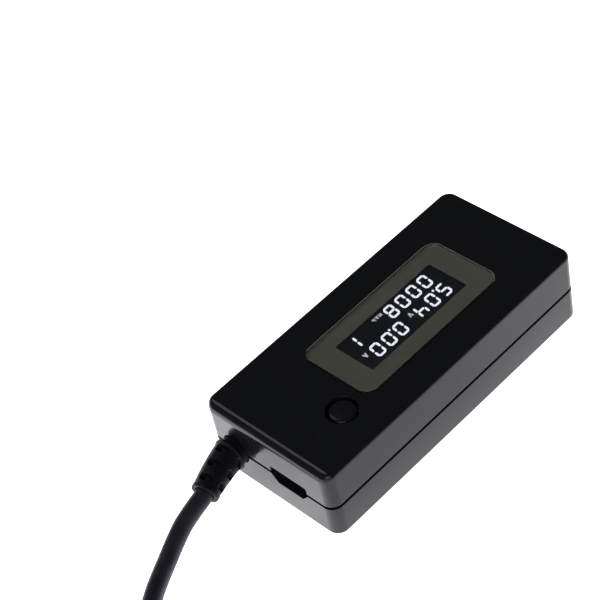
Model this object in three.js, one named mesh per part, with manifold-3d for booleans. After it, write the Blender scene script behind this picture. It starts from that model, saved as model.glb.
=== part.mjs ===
// USB power meter: a snap-together plastic case that holds a small liquid-crystal display, a push
// button, an output socket at one end, a micro socket and a captive cord with a plug at the other.
// Millimetres, +Z up. +X runs from the corded end to the output socket, and the origin is the middle
// of the case's underside.
import * as THREE from 'three';
import { mergeVertices } from 'three/addons/utils/BufferGeometryUtils.js';
import Module from 'manifold-3d';

const wasm = await Module();
wasm.setup();

// ---------------------------------------------------------------- driving dimensions
const CASE = { length: 62.8, width: 29, height: 14.7, wall: 1.6, top: 1.5, corner: 2.2 };
// Radii of the rounded edges: round the top, along the corded end's top, and round the underside.
const CASE_EDGE = { upper: 0.8, cordedEnd: 1.7, lower: 0.3 };
const PARTING = { z: 6.75, gap: 0.6 };
const LIP = { height: 1.1, thickness: 0.7, gap: 0.15 };
const CATCH = { length: 5, depth: 0.3, root: 0.3, height: 0.4, z: 7.5, spacing: 30, gap: 0.15 };

const WINDOW = {
  x: 2.8, y: 0.1, length: 33.75, width: 15.8, corner: 2.4, thickness: 1.05, bevel: 0.2, proud: 0.1, gap: 0.12,
};
const VIEW = { x: 3, y: 0.35, length: 26, width: 10, corner: 1 };
const GLASS = { x: 3, y: 1.4, length: 28, width: 14.6, thickness: 0.7, ledge: 2.2 };
const POLARISER = { length: 27.2, width: 11.4, thickness: 0.2 };
const BACKLIGHT = { length: 27.6, width: 11.8, thickness: 1.8 };
const LAMP = {
  length: 1.6, width: 3, height: 1.4, drop: 0.3, gap: 1.6, lens: 0.9, lensDepth: 0.5, inset: 0.1,
};
const STACK_GAP = 0.05;
const DISPLAY_TOP = 13.1;
const DISPLAY_RIB = { gap: 0.25, thickness: 0.7, bottom: 9.5 };
const ZEBRA = { shorter: 4, width: 1.4, shift: 0.2 };

const BOARD = { left: -29.3, right: 29.2, width: 25, thickness: 1.2, top: 5, corner: 1 };
const BOARD_NOTCH = { x: -28.2, y: 4.2 };
const SEAT = 0.05;
const SCREWS = [[-13.6, 10.2], [12.5, -10.2]];
const SCREW = {
  head: 1.8, headHeight: 1.1, shank: 0.8, length: 2.9, point: 0.5, recess: 2.2, slot: 0.5, depth: 0.5,
};
const BOSS = { radius: 2.3, hole: 0.95, clearance: 1.1 };
const BOARD_REST = { length: 6, depth: 1.4, x: 20 };
const LEAD = { width: 0.3, reach: 1, thickness: 0.18, inside: 0.2, bodyLift: 0.12 };
const CHIP_BLACK = 0x131416;
const CAPACITOR_TAN = 0x8b6a48;
// Moulded chips with leads along their two long sides.
const CHIPS = [
  { name: 'controller_chip', x: 4, y: 0.6, length: 10, width: 7.4, height: 1.9, leads: 12, pitch: 0.8 },
  { name: 'amplifier_chip', x: -9.4, y: -8.4, length: 4.9, width: 3.9, height: 1.6, leads: 4, pitch: 1.27 },
  { name: 'memory_chip', x: -9.4, y: 3, length: 4.9, width: 3.9, height: 1.6, leads: 4, pitch: 1.27 },
  { name: 'voltage_regulator', x: -19.2, y: 3.2, length: 2.9, width: 1.6, height: 1.2, leads: 2, pitch: 1.9 },
];
// Ceramic blocks with a metal cap at each end, and how much of the length and how thick each cap is.
const BLOCKS = [
  { name: 'shunt_resistor', x: 14, y: -1.8, length: 6.4, width: 3.2, height: 0.7, color: 0x20211f },
  { name: 'input_capacitor', x: -19.6, y: 0.4, length: 3.2, width: 1.6, height: 1.5, color: CAPACITOR_TAN },
  { name: 'output_capacitor', x: 14.2, y: 10.4, length: 3.2, width: 1.6, height: 1.5, color: CAPACITOR_TAN },
  { name: 'supply_capacitor', x: -13.6, y: -1.6, length: 2, width: 1.25, height: 1.2, color: CAPACITOR_TAN },
];
const BLOCK_CAP = { share: 0.2, rim: 0.05 };
const CRYSTAL = {
  x: 1.6, y: -9.6, length: 10.8, width: 4.4, corner: 2.1, height: 3, brim: 0.3, brimHeight: 0.6,
};

const BUTTON = { x: -18.77, y: -6.22, hole: 2.93, radius: 2.62, top: 14.75, edge: 0.8, dome: 0.12 };
const BUTTON_FLANGE = { radius: 3.4, bottom: 12.5, top: 12.95 };
const BUTTON_POST = { radius: 1.6, bottom: 10.45 };
const BUTTON_GUIDE = { inner: 3.7, outer: 4.6, bottom: 11.6 };
const SWITCH = { size: 6, top: 7.6, corner: 0.4, well: 2.3, wellFloor: 6.6, plate: 0.25, plateGap: 0.05 };
const PLUNGER = { radius: 1.65, foot: 2.1, footHeight: 0.25, bottom: 7.3, top: 10.4, edge: 0.2, hole: 1.8 };
const DOME = { radius: 2.1, rise: 0.6, thickness: 0.12, bottom: 6.65 };

const OUTPUT = { width: 13.2, height: 5.9, length: 12.6, wall: 0.3, recess: 0.2, corner: 0.5 };
const OUTPUT_SPRING = { y: 3, length: 5.5, width: 1.6, groove: 0.25, setback: 3 };
const OUTPUT_TONGUE = { width: 11.1, thickness: 1.84, setback: 1.9, top: 10, back: 2.6, gap: 0.05 };
const OUTPUT_CUTOUT = { width: 13.8, bottom: 4.75, top: 11.25, corner: 0.6 };
const USB_PITCHES = [-3.5, -1, 1, 3.5];
const CONTACT = { width: 1, thickness: 0.2, gap: 0.05, setback: 1, dip: 0.45, dipStart: 4, dipMiddle: 2.2 };

const MICRO = {
  y: -4.28, width: 7.5, foot: 5.6, height: 2.5, chamfer: 0.9, wall: 0.25, front: -29.9, length: 5.2,
};
const MICRO_TONGUE = { width: 3.7, thickness: 0.6, setback: 0.9, back: 1.1, drop: 0.45, gap: 0.05 };
const MICRO_CONTACT = { count: 5, pitch: 0.65, width: 0.35, thickness: 0.12, gap: 0.04, setback: 0.2 };
const MICRO_SLOT = { top: 8.35, shoulder: 6.3, bottom: 4.85, halfTop: 4.17, halfBottom: 2.85, corner: 0.4 };

const EXIT = { y: 8.3, z: 6.65, hole: 2.95 };
// The sleeve from the wall out: a neck, a thin flange, a tapered body with pockets, and a collar.
const RELIEF = {
  neck: 2.75, flangeStart: 1.2, flange: 3.5, flangeThickness: 0.5, blend: 0.15, root: 2.95, tip: 2.4,
};
const RELIEF_COLLAR = { radius: 2.5, length: 1, blend: 0.3, edge: 0.25 };
const RELIEF_INNER = { radius: 3.6, thickness: 0.9, gap: 0.08 };
const RELIEF_POCKET = { first: 2.5, pitch: 2.75, count: 3, rows: 4, half: 1.15, radius: 0.55, depth: 0.75 };
const RELIEF_AXIS = [
  [-31.4, 8.3, 6.65], [-33.2, 8.3, 6.65], [-35.6, 7.85, 6.5], [-38.3, 7.2, 6.2], [-41.1, 6.4, 5.8],
];

const CORD = { radius: 1.65, sides: 8, step: 6.6 };
// The cord's centreline: out of the strain relief, down to the surface that the case stands on,
// round one open bend, and up to the middle of the plug that lies flat.
const CORD_ROUTE = [
  [-41.55, 6.3, 5.7], [-44.2, 6.1, 5], [-47.1, 5.85, 4], [-50, 5.15, 2.9], [-52.85, 4.1, 2.15],
  [-56.2, 2.6, 1.78], [-59.2, 0.9, 1.75], [-62.4, -1.5, 1.75], [-65.3, -4.7, 1.75], [-67.5, -8.6, 1.75],
  [-68.7, -13.1, 1.75], [-68.8, -17.9, 1.75], [-67.9, -22.6, 1.75], [-66.2, -27.1, 1.75],
  [-63.8, -31.2, 1.75], [-60.9, -35, 1.75], [-57.6, -38.6, 1.82], [-54.1, -42, 2.2],
  [-50.5, -45.2, 2.95], [-46.9, -48.3, 3.75], [-45.4, -49.6, 3.95],
];
const PLUG = { heading: -40.9, gap: 0.3, neck: 7, neckRear: 2.3, neckFront: 3, neckEdge: 0.3 };
const PLUG_GRIP = { length: 20, width: 15.6, thickness: 7.8, corner: 2.4, edge: 0.9, pocket: 5.8 };
const PLUG_RIDGE = { count: 4, pitch: 2.2, width: 1, depth: 0.35, first: 7 };
const PLUG_SHELL = {
  width: 12, height: 4.5, wall: 0.3, corner: 0.5, exposed: 11.75, inside: 5.5, clearance: 0.3,
};
const PLUG_WINDOW = { size: 2.3, x: 5.2, y: 2.6 };
const PLUG_INSULATOR = { width: 11.1, thickness: 1.9, setback: 0.5, lift: 0.05, back: 0.3 };
const PLUG_CONTACT = { outer: 7.4, inner: 6.4, setback: 0.8 };
const WIRE = { radius: 0.5, sides: 8, lift: 0.15, startX: -28.45, padX: -22.5, steps: 8 };
// Each conductor's place in the cord, the y of its pad on the board, and its colour.
const WIRES = [
  { name: 'red_wire', dy: 1, dz: 1.1, padY: 10.9, color: 0xb3201c },
  { name: 'black_wire', dy: -1, dz: 1.1, padY: 6.4, color: 0x151515 },
  { name: 'green_wire', dy: 1, dz: -0.4, padY: 9.4, color: 0x1f7a38 },
  { name: 'white_wire', dy: -1, dz: -0.4, padY: 7.9, color: 0xe6e6e2 },
];

const ROUND = 32;
// How far joined solids run into each other, and how far cutters run past the faces they open.
const BITE = 0.5;
const PAST = 1;
// How far apart two points may be and still be one vertex.
const WELD = 1e-5;

const BODY_BLACK = 0x17181b;
const CORD_BLACK = 0x1b1c20;
const GOLD = 0xd8b25c;
const TIN = 0xc9cbcd;
const SOCKET_WHITE = 0xe9e9e6;

// ---------------------------------------------------------------- solids and booleans

/** A geometry with shared vertices joined and collapsed triangles dropped. */
function clean(geometry) {
  const bare = geometry.clone();
  bare.deleteAttribute('normal');
  bare.deleteAttribute('uv');
  const merged = mergeVertices(bare, WELD);
  const kept = [];
  const index = merged.index.array;
  for (let i = 0; i < index.length; i += 3) {
    const [a, b, c] = [index[i], index[i + 1], index[i + 2]];
    if (a !== b && b !== c && c !== a) kept.push(a, b, c);
  }
  merged.setIndex(kept);
  return merged;
}

function toManifold(geometry) {
  const merged = clean(geometry);
  return new wasm.Manifold(new wasm.Mesh({
    numProp: 3,
    vertProperties: new Float32Array(merged.attributes.position.array),
    triVerts: new Uint32Array(merged.index.array),
  }));
}

function fromManifold(solid) {
  const { vertProperties, triVerts } = solid.getMesh();
  const geometry = new THREE.BufferGeometry();
  geometry.setAttribute('position', new THREE.BufferAttribute(vertProperties, 3));
  geometry.setIndex(new THREE.BufferAttribute(triVerts, 1));
  return geometry;
}

function combine(operation, first, others) {
  let solid = toManifold(first);
  for (const other of others) solid = solid[operation](toManifold(other));
  return fromManifold(solid);
}

const join = (first, ...others) => combine('add', first, others);
const cut = (first, ...others) => combine('subtract', first, others);
const overlap = (first, ...others) => combine('intersect', first, others);

// ---------------------------------------------------------------- basic shapes

/** A box between two corners. */
function box(x0, x1, y0, y1, z0, z1) {
  const geometry = new THREE.BoxGeometry(x1 - x0, y1 - y0, z1 - z0);
  return geometry.translate((x0 + x1) / 2, (y0 + y1) / 2, (z0 + z1) / 2);
}

/** A box given by its middle in X and Y, its size, and its lowest and highest Z. */
function slab(x, y, length, width, z0, z1) {
  return box(x - length / 2, x + length / 2, y - width / 2, y + width / 2, z0, z1);
}

function roundedRectangle(length, width, radius, x = 0, y = 0) {
  const [a, b, r] = [length / 2, width / 2, radius];
  const shape = new THREE.Shape();
  shape.moveTo(x - a + r, y - b);
  shape.lineTo(x + a - r, y - b);
  shape.absarc(x + a - r, y - b + r, r, -Math.PI / 2, 0, false);
  shape.lineTo(x + a, y + b - r);
  shape.absarc(x + a - r, y + b - r, r, 0, Math.PI / 2, false);
  shape.lineTo(x - a + r, y + b);
  shape.absarc(x - a + r, y + b - r, r, Math.PI / 2, Math.PI, false);
  shape.lineTo(x - a, y - b + r);
  shape.absarc(x - a + r, y - b + r, r, Math.PI, Math.PI * 1.5, false);
  return shape;
}

function polygon(points) {
  return new THREE.Shape(points.map(([x, y]) => new THREE.Vector2(x, y)));
}

/** A closed skin over rings of equally many points, from the lowest ring up, with flat ends. */
function skin(rings) {
  const count = rings[0].length;
  const index = [];
  for (let level = 0; level + 1 < rings.length; level++) {
    for (let i = 0; i < count; i++) {
      const [low, lowNext] = [level * count + i, level * count + ((i + 1) % count)];
      index.push(low, lowNext, lowNext + count, low, lowNext + count, low + count);
    }
  }
  const topStart = (rings.length - 1) * count;
  for (let i = 1; i + 1 < count; i++) {
    index.push(0, i + 1, i, topStart, topStart + i, topStart + i + 1);
  }
  const geometry = new THREE.BufferGeometry();
  geometry.setAttribute('position', new THREE.Float32BufferAttribute(rings.flat(2), 3));
  geometry.setIndex(index);
  return geometry;
}

/** A flat outline raised from z0 to z1. */
function prism(shape, z0, z1, curveSegments = 6) {
  const options = { depth: z1 - z0, bevelEnabled: false, curveSegments };
  return new THREE.ExtrudeGeometry(shape, options).translate(0, 0, z0);
}

/** An outline drawn in Y and Z, drawn out from x0 to x1. */
function prismX(shape, x0, x1, curveSegments = 6) {
  const turn = new THREE.Matrix4().makeBasis(
    new THREE.Vector3(0, 1, 0), new THREE.Vector3(0, 0, 1), new THREE.Vector3(1, 0, 0));
  return prism(shape, x0, x1, curveSegments).applyMatrix4(turn);
}

/** A prism whose upper and lower edges are rounded; size is the finished size. */
function pillow(length, width, corner, edge, z0, z1, x = 0, y = 0) {
  const shape = roundedRectangle(length - 2 * edge, width - 2 * edge, corner - edge, x, y);
  const options = {
    depth: z1 - z0 - 2 * edge, bevelThickness: edge, bevelSize: edge, bevelSegments: 4, curveSegments: 6,
  };
  return new THREE.ExtrudeGeometry(shape, options).translate(0, 0, z0 + edge);
}

/** A profile of [radius, height] points turned about the Z axis. */
function turned(profile, x = 0, y = 0, segments = ROUND) {
  const points = profile.map(([r, z]) => new THREE.Vector2(r, z));
  return new THREE.LatheGeometry(points, segments).rotateX(Math.PI / 2).translate(x, y, 0);
}

function cylinder(radius, x, y, z0, z1, segments = ROUND) {
  return turned([[0, z0], [radius, z0], [radius, z1], [0, z1]], x, y, segments);
}

function smoothPath(points) {
  return new THREE.CatmullRomCurve3(points.map((p) => new THREE.Vector3(...p)));
}

/** A rod of even thickness that follows a list of points; a whole circle has twice its curve segments. */
function rod(points, radius, sides, steps) {
  const section = new THREE.Shape();
  section.absarc(0, 0, radius, 0, 2 * Math.PI, false);
  const options = { steps, extrudePath: smoothPath(points), curveSegments: sides / 2, bevelEnabled: false };
  return new THREE.ExtrudeGeometry(section, options);
}

function part(name, geometry, color, roughness, metalness = 0) {
  const material = new THREE.MeshStandardMaterial({ color, roughness, metalness });
  const mesh = new THREE.Mesh(clean(geometry), material);
  mesh.name = name;
  return mesh;
}

// ---------------------------------------------------------------- case

const halfLength = CASE.length / 2;
const innerWidth = CASE.width - 2 * CASE.wall;
const ceiling = CASE.height - CASE.top;
const seamLow = PARTING.z - PARTING.gap / 2;
const seamHigh = PARTING.z + PARTING.gap / 2;
const lipTop = PARTING.z + LIP.height;
const boardTop = BOARD.top + SEAT;

/** A rounded rectangular prism that follows the case's plan, set in by a distance all round. */
function inset(distance, z0, z1) {
  const [length, width] = [CASE.length - 2 * distance, CASE.width - 2 * distance];
  return prism(roundedRectangle(length, width, CASE.corner - distance), z0, z1);
}

/** The radius of the top's rounded edge where the wall faces along a plan angle. */
function upperEdge(angle) {
  const towardsCord = Math.max(0, -Math.cos(angle));
  return CASE_EDGE.upper + (CASE_EDGE.cordedEnd - CASE_EDGE.upper) * towardsCord ** 2;
}

/** Points round the case's plan at one level of a rounded edge; lean is 0 on the flat and 1 on the wall. */
function planRing(edgeAt, lean, levelAt) {
  const points = [];
  const steps = 6;
  const tilt = (lean * Math.PI) / 2;
  const [middleX, middleY] = [CASE.length / 2 - CASE.corner, CASE.width / 2 - CASE.corner];
  for (const [quarter, sideX, sideY] of [[-1, 1, -1], [0, 1, 1], [1, -1, 1], [2, -1, -1]]) {
    for (let i = 0; i <= steps; i++) {
      const angle = ((quarter + i / steps) * Math.PI) / 2;
      const edge = edgeAt(angle);
      const reach = CASE.corner - edge * (1 - Math.sin(tilt));
      const [x, y] = [sideX * middleX + reach * Math.cos(angle), sideY * middleY + reach * Math.sin(angle)];
      points.push([x, y, levelAt(edge * (1 - Math.cos(tilt)))]);
    }
  }
  return points;
}

/** The solid outside of the case: straight walls between a rounded underside and a rounded top. */
function caseBlock() {
  const steps = 4;
  const rings = [];
  for (let i = 0; i <= steps; i++) rings.push(planRing(() => CASE_EDGE.lower, i / steps, (drop) => drop));
  for (let i = steps; i >= 0; i--) rings.push(planRing(upperEdge, i / steps, (drop) => CASE.height - drop));
  return skin(rings);
}

function microSlotShape() {
  const { top, shoulder, bottom, halfTop, halfBottom, corner } = MICRO_SLOT;
  const right = [
    [halfBottom, bottom], [halfTop, shoulder], [halfTop, top - corner], [halfTop - corner, top],
  ];
  const left = right.map(([y, z]) => [-y, z]).reverse();
  return polygon([...right, ...left].map(([y, z]) => [y + MICRO.y, z]));
}

/** The openings in the two end walls, which both covers share. */
function endOpenings() {
  const [outside, inside] = [halfLength + PAST, halfLength - CASE.wall - PAST];
  const exitHole = new THREE.Shape();
  exitHole.absarc(EXIT.y, EXIT.z, EXIT.hole, 0, 2 * Math.PI, false);
  const { width, bottom, top, corner } = OUTPUT_CUTOUT;
  const output = roundedRectangle(width, top - bottom, corner, 0, (top + bottom) / 2);
  return [
    prismX(microSlotShape(), -outside, -inside),
    prismX(exitHole, -outside, -inside, ROUND / 2),
    prismX(output, inside, outside),
  ];
}

/** Four ridges on the lip, or the four wider pockets that they snap into. */
function catches(gap) {
  const lipFace = innerWidth / 2 + LIP.thickness;
  const middleY = lipFace + (CATCH.depth + gap - CATCH.root) / 2;
  const [length, depth] = [CATCH.length + 2 * gap, CATCH.depth + gap + CATCH.root];
  const half = CATCH.height / 2 + gap;
  const list = [];
  for (const side of [-1, 1]) {
    for (const x of [-CATCH.spacing / 2, CATCH.spacing / 2]) {
      list.push(slab(x, side * middleY, length, depth, CATCH.z - half, CATCH.z + half));
    }
  }
  return list;
}

/** The rib under the top that holds the display glass. */
function displayRib() {
  const { x, y } = GLASS;
  const { gap, thickness, bottom } = DISPLAY_RIB;
  const [length, width] = [GLASS.length + 2 * gap, GLASS.width + 2 * gap];
  return cut(
    slab(x, y, length + 2 * thickness, width + 2 * thickness, bottom, ceiling + BITE),
    slab(x, y, length, width, bottom - PAST, ceiling + PAST));
}

/** The window's seat and, under it, the opening that the display shows through. */
function windowCutters() {
  const { x, y, gap, thickness, proud } = WINDOW;
  const seat = roundedRectangle(WINDOW.length + 2 * gap, WINDOW.width + 2 * gap, WINDOW.corner + gap, x, y);
  const view = roundedRectangle(VIEW.length, VIEW.width, VIEW.corner, VIEW.x, VIEW.y);
  return [
    prism(seat, CASE.height + proud - thickness - STACK_GAP, CASE.height + PAST),
    prism(view, ceiling - PAST, CASE.height),
  ];
}

function topCover() {
  const { x, y } = BUTTON;
  const above = inset(-PAST, seamHigh, CASE.height + PAST);
  const hollow = cut(overlap(caseBlock(), above), inset(CASE.wall, seamHigh - PAST, ceiling));
  const guide = cylinder(BUTTON_GUIDE.outer, x, y, BUTTON_GUIDE.bottom, ceiling + BITE);
  const lipRoom = inset(CASE.wall - LIP.thickness - LIP.gap, seamHigh - PAST, lipTop + LIP.gap);
  return cut(
    join(hollow, displayRib(), guide),
    ...windowCutters(), lipRoom,
    cylinder(BUTTON_GUIDE.inner, x, y, BUTTON_GUIDE.bottom - PAST, ceiling),
    cylinder(BUTTON.hole, x, y, ceiling - PAST, CASE.height + PAST),
    ...catches(CATCH.gap), ...endOpenings());
}

/** The bosses for the two screws and the four rests that the board lies on. */
function boardSupports(boardUnder) {
  const list = SCREWS.map(([x, y]) => cylinder(BOSS.radius, x, y, CASE.top - BITE, boardUnder));
  const depth = BOARD_REST.depth + BITE;
  const middleY = innerWidth / 2 - BOARD_REST.depth + depth / 2;
  for (const side of [-1, 1]) {
    for (const x of [-BOARD_REST.x, BOARD_REST.x]) {
      list.push(slab(x, side * middleY, BOARD_REST.length, depth, CASE.top - BITE, boardUnder));
    }
  }
  return list;
}

function bottomCover() {
  const shell = overlap(caseBlock(), inset(-PAST, -PAST, seamLow));
  const lip = inset(CASE.wall - LIP.thickness, seamLow - PAST, lipTop);
  const hollow = cut(join(shell, lip), inset(CASE.wall, CASE.top, lipTop + PAST));
  const boardUnder = BOARD.top - BOARD.thickness - SEAT;
  const holes = SCREWS.map(([x, y]) => cylinder(BOSS.hole, x, y, CASE.top, boardUnder + PAST));
  return cut(join(hollow, ...boardSupports(boardUnder), ...catches(0)), ...holes, ...endOpenings());
}

// ---------------------------------------------------------------- display

function displayWindow() {
  const { length, width, corner, thickness, bevel, proud, x, y } = WINDOW;
  const top = CASE.height + proud;
  const plate = roundedRectangle(length - 2 * bevel, width - 2 * bevel, corner - bevel, x, y);
  const options = {
    depth: thickness - bevel, bevelThickness: bevel, bevelSize: bevel, bevelSegments: 2, curveSegments: 6,
  };
  const block = new THREE.ExtrudeGeometry(plate, options).translate(0, 0, top - thickness);
  return overlap(block, slab(x, y, length + PAST, width + PAST, top - thickness, top + PAST));
}

/** The stack from the window down: polariser, two glasses, polariser and backlight. */
function displayStack() {
  let top = DISPLAY_TOP;
  const layer = (name, length, width, thickness, y, color, roughness) => {
    const mesh = part(name, slab(GLASS.x, y, length, width, top - thickness, top), color, roughness);
    top -= thickness + STACK_GAP;
    return mesh;
  };
  const rearY = GLASS.y - GLASS.ledge / 2;
  return [
    layer('front_polariser', POLARISER.length, POLARISER.width, POLARISER.thickness, rearY, 0x0b0d16, 0.2),
    layer('front_glass', GLASS.length, GLASS.width, GLASS.thickness, GLASS.y, 0x9fb0b5, 0.08),
    layer('rear_glass', GLASS.length, GLASS.width - GLASS.ledge, GLASS.thickness, rearY, 0x9fb0b5, 0.08),
    layer('rear_polariser', POLARISER.length, POLARISER.width, POLARISER.thickness, rearY, 0x4a4f55, 0.3),
    layer('backlight_panel', BACKLIGHT.length, BACKLIGHT.width, BACKLIGHT.thickness, rearY, 0xf2f4f7, 0.4),
  ];
}

/** The side-firing lamp just under the backlight's corded end, with its low round lens. */
function backlightLamp() {
  const { length, width, height, drop, lens, lensDepth, inset: back } = LAMP;
  const x = GLASS.x - BACKLIGHT.length / 2 - length / 2 - LAMP.gap;
  const layers = 2 * POLARISER.thickness + 2 * GLASS.thickness + BACKLIGHT.thickness + 4 * STACK_GAP;
  const top = DISPLAY_TOP - layers - drop;
  const bulge = turned([[0, 0], [lens, 0], [lens * 0.83, lensDepth * 0.7], [0, lensDepth]], 0, 0, 12);
  bulge.rotateY(Math.PI / 2).translate(x + length / 2 - back, GLASS.y, top - height / 2);
  return join(slab(x, GLASS.y, length, width, top - height, top), bulge);
}

function zebraStrip() {
  const glassUnder = DISPLAY_TOP - POLARISER.thickness - GLASS.thickness - STACK_GAP;
  const y = GLASS.y + GLASS.width / 2 - GLASS.ledge / 2 + ZEBRA.shift;
  return slab(GLASS.x, y, GLASS.length - ZEBRA.shorter, ZEBRA.width, boardTop, glassUnder - STACK_GAP);
}

// ---------------------------------------------------------------- board and its parts

function mainBoard() {
  const { left, right, width, thickness, top, corner } = BOARD;
  const under = top - thickness;
  const blank = prism(roundedRectangle(right - left, width, corner, (left + right) / 2, 0), under, top, 4);
  const notch = box(left - PAST, BOARD_NOTCH.x, BOARD_NOTCH.y, width, under - PAST, top + PAST);
  const holes = SCREWS.map(([x, y]) => cylinder(BOSS.clearance, x, y, under - PAST, top + PAST, 20));
  return cut(blank, notch, ...holes);
}

/** The side view of one lead: out of the chip's body, down, and flat on the board. */
function leadShape(middle) {
  const { reach, thickness, inside } = LEAD;
  return polygon([
    [-inside, middle], [reach * 0.45, middle], [reach * 0.55, thickness], [reach * 0.4, thickness],
    [reach * 0.4, 0], [reach, 0], [reach, thickness], [reach * 0.75, thickness],
    [reach * 0.65, middle + thickness], [-inside, middle + thickness],
  ]);
}

/** A moulded chip with bent leads along its two long sides. */
function leadedChip({ x, y, length, width, height, leads, pitch }) {
  const shape = leadShape(height / 2);
  const list = [];
  for (const side of [-1, 1]) {
    for (let i = 0; i < leads; i++) {
      const lead = prismX(shape, -LEAD.width / 2, LEAD.width / 2);
      if (side < 0) lead.rotateZ(Math.PI);
      list.push(lead.translate(x + (i - (leads - 1) / 2) * pitch, y + side * width / 2, boardTop));
    }
  }
  return join(slab(x, y, length, width, boardTop + LEAD.bodyLift, boardTop + height), ...list);
}

/** A ceramic block with a raised metal cap at each end, as chip resistors and capacitors have. */
function chipBlock({ x, y, length, width, height }) {
  const { share, rim } = BLOCK_CAP;
  const cap = length * share;
  return join(
    slab(x, y, length - cap, width - 2 * rim, boardTop + rim, boardTop + height - rim),
    slab(x - length / 2 + cap / 2, y, cap, width, boardTop, boardTop + height),
    slab(x + length / 2 - cap / 2, y, cap, width, boardTop, boardTop + height));
}

function crystalCan() {
  const { x, y, length, width, corner, height, brim, brimHeight } = CRYSTAL;
  const foot = roundedRectangle(length + 2 * brim, width + 2 * brim, corner + brim, x, y);
  const can = prism(roundedRectangle(length, width, corner, x, y), boardTop, boardTop + height, 8);
  return join(can, prism(foot, boardTop, boardTop + brimHeight, 8));
}

/** A pan-head screw with a cross recess. */
function boardScrew([x, y]) {
  const { head, headHeight, shank, length, point, recess, slot, depth } = SCREW;
  const top = boardTop + headHeight;
  const tip = boardTop - length;
  const body = turned([
    [0, tip], [shank / 2, tip], [shank, tip + point], [shank, boardTop], [head, boardTop],
    [head, top - point], [head * 0.8, top - point / 4], [0, top],
  ], x, y, 24);
  return cut(
    body,
    slab(x, y, recess, slot, top - depth, top + PAST),
    slab(x, y, slot, recess, top - depth, top + PAST));
}

function boardParts() {
  return [
    part('main_board', mainBoard(), 0x1c5a33, 0.45),
    ...CHIPS.map((chip) => part(chip.name, leadedChip(chip), CHIP_BLACK, 0.55)),
    ...BLOCKS.map((block) => part(block.name, chipBlock(block), block.color, 0.5)),
    part('crystal', crystalCan(), 0xb9bcc0, 0.3, 1),
    ...SCREWS.map((place, i) => part(`board_screw_${i + 1}`, boardScrew(place), 0xb4b6b8, 0.35, 1)),
  ];
}

// ---------------------------------------------------------------- push button and its switch

function buttonCap() {
  const { radius, top, edge, dome } = BUTTON;
  return turned([
    [0, BUTTON_POST.bottom], [BUTTON_POST.radius, BUTTON_POST.bottom],
    [BUTTON_POST.radius, BUTTON_FLANGE.bottom],
    [BUTTON_FLANGE.radius, BUTTON_FLANGE.bottom], [BUTTON_FLANGE.radius, BUTTON_FLANGE.top],
    [radius, BUTTON_FLANGE.top], [radius, top - dome - edge], [radius - edge * 0.13, top - dome - edge * 0.5],
    [radius - edge * 0.5, top - dome - edge * 0.13], [radius - edge, top - dome],
    [radius * 0.35, top - dome * 0.25], [0, top],
  ], BUTTON.x, BUTTON.y, 40);
}

function switchOutline() {
  return roundedRectangle(SWITCH.size, SWITCH.size, SWITCH.corner, BUTTON.x, BUTTON.y);
}

function switchBase() {
  const block = prism(switchOutline(), boardTop, SWITCH.top, 3);
  return cut(block, cylinder(SWITCH.well, BUTTON.x, BUTTON.y, SWITCH.wellFloor, SWITCH.top + PAST, 24));
}

function switchPlate() {
  const z = SWITCH.top + SWITCH.plateGap;
  const plate = prism(switchOutline(), z, z + SWITCH.plate, 3);
  return cut(plate, cylinder(PLUNGER.hole, BUTTON.x, BUTTON.y, z - PAST, z + PAST, 24));
}

function switchDome() {
  const { radius, rise, thickness, bottom } = DOME;
  const steps = 5;
  const outer = [];
  const inner = [];
  for (let i = 0; i <= steps; i++) {
    const angle = (i / steps) * Math.PI / 2;
    outer.push([radius * Math.cos(angle), bottom + rise * Math.sin(angle)]);
    inner.push([(radius - thickness) * Math.sin(angle), bottom + (rise - thickness) * Math.cos(angle)]);
  }
  outer[steps][0] = 0;
  inner[0][0] = 0;
  return turned([...inner, ...outer], BUTTON.x, BUTTON.y, 24);
}

function switchPlunger() {
  const { radius, foot, footHeight, bottom, top, edge } = PLUNGER;
  return turned([
    [0, bottom], [foot, bottom], [foot, bottom + footHeight], [radius, bottom + footHeight],
    [radius, top - edge], [radius - edge, top], [0, top],
  ], BUTTON.x, BUTTON.y, 24);
}

function buttonParts() {
  return [
    part('button_cap', buttonCap(), BODY_BLACK, 0.35),
    part('switch_base', switchBase(), 0x1a1a1a, 0.6),
    part('switch_plate', switchPlate(), 0xc2c4c6, 0.3, 1),
    part('switch_dome', switchDome(), 0xb8babd, 0.3, 1),
    part('switch_plunger', switchPlunger(), 0x1e1e20, 0.5),
  ];
}

// ---------------------------------------------------------------- output socket

const outputFront = halfLength - OUTPUT.recess;
const outputBack = outputFront - OUTPUT.length;
const outputTop = boardTop + OUTPUT.height;

/** The socket's outline in Y and Z, set in by a distance. */
function outputOutline(distance, corner = OUTPUT.corner) {
  const middle = (boardTop + outputTop) / 2;
  return roundedRectangle(OUTPUT.width - 2 * distance, OUTPUT.height - 2 * distance, corner, 0, middle);
}

/** The plated tube, with three grooves round each of the two springs pressed in its top. */
function outputShell() {
  const { y: springY, length, width, groove, setback } = OUTPUT_SPRING;
  const outline = outputOutline(0);
  outline.holes.push(outputOutline(OUTPUT.wall, OUTPUT.corner - 0.2));
  const front = outputFront - setback;
  const [low, high] = [outputTop - PAST, outputTop + PAST];
  const grooves = [];
  for (const y of [-springY, springY]) {
    grooves.push(
      slab(front - length / 2, y - width / 2, length, groove, low, high),
      slab(front - length / 2, y + width / 2, length, groove, low, high),
      slab(front, y, groove, width, low, high));
  }
  return cut(prismX(outline, outputBack, outputFront, 3), ...grooves);
}

function outputTongue() {
  const { width, thickness, setback, top, back, gap } = OUTPUT_TONGUE;
  const block = prismX(outputOutline(OUTPUT.wall + gap), outputBack, outputBack + back, 3);
  const [x0, x1] = [outputBack + BITE, outputFront - setback];
  return join(block, box(x0, x1, -width / 2, width / 2, top - thickness, top));
}

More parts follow.
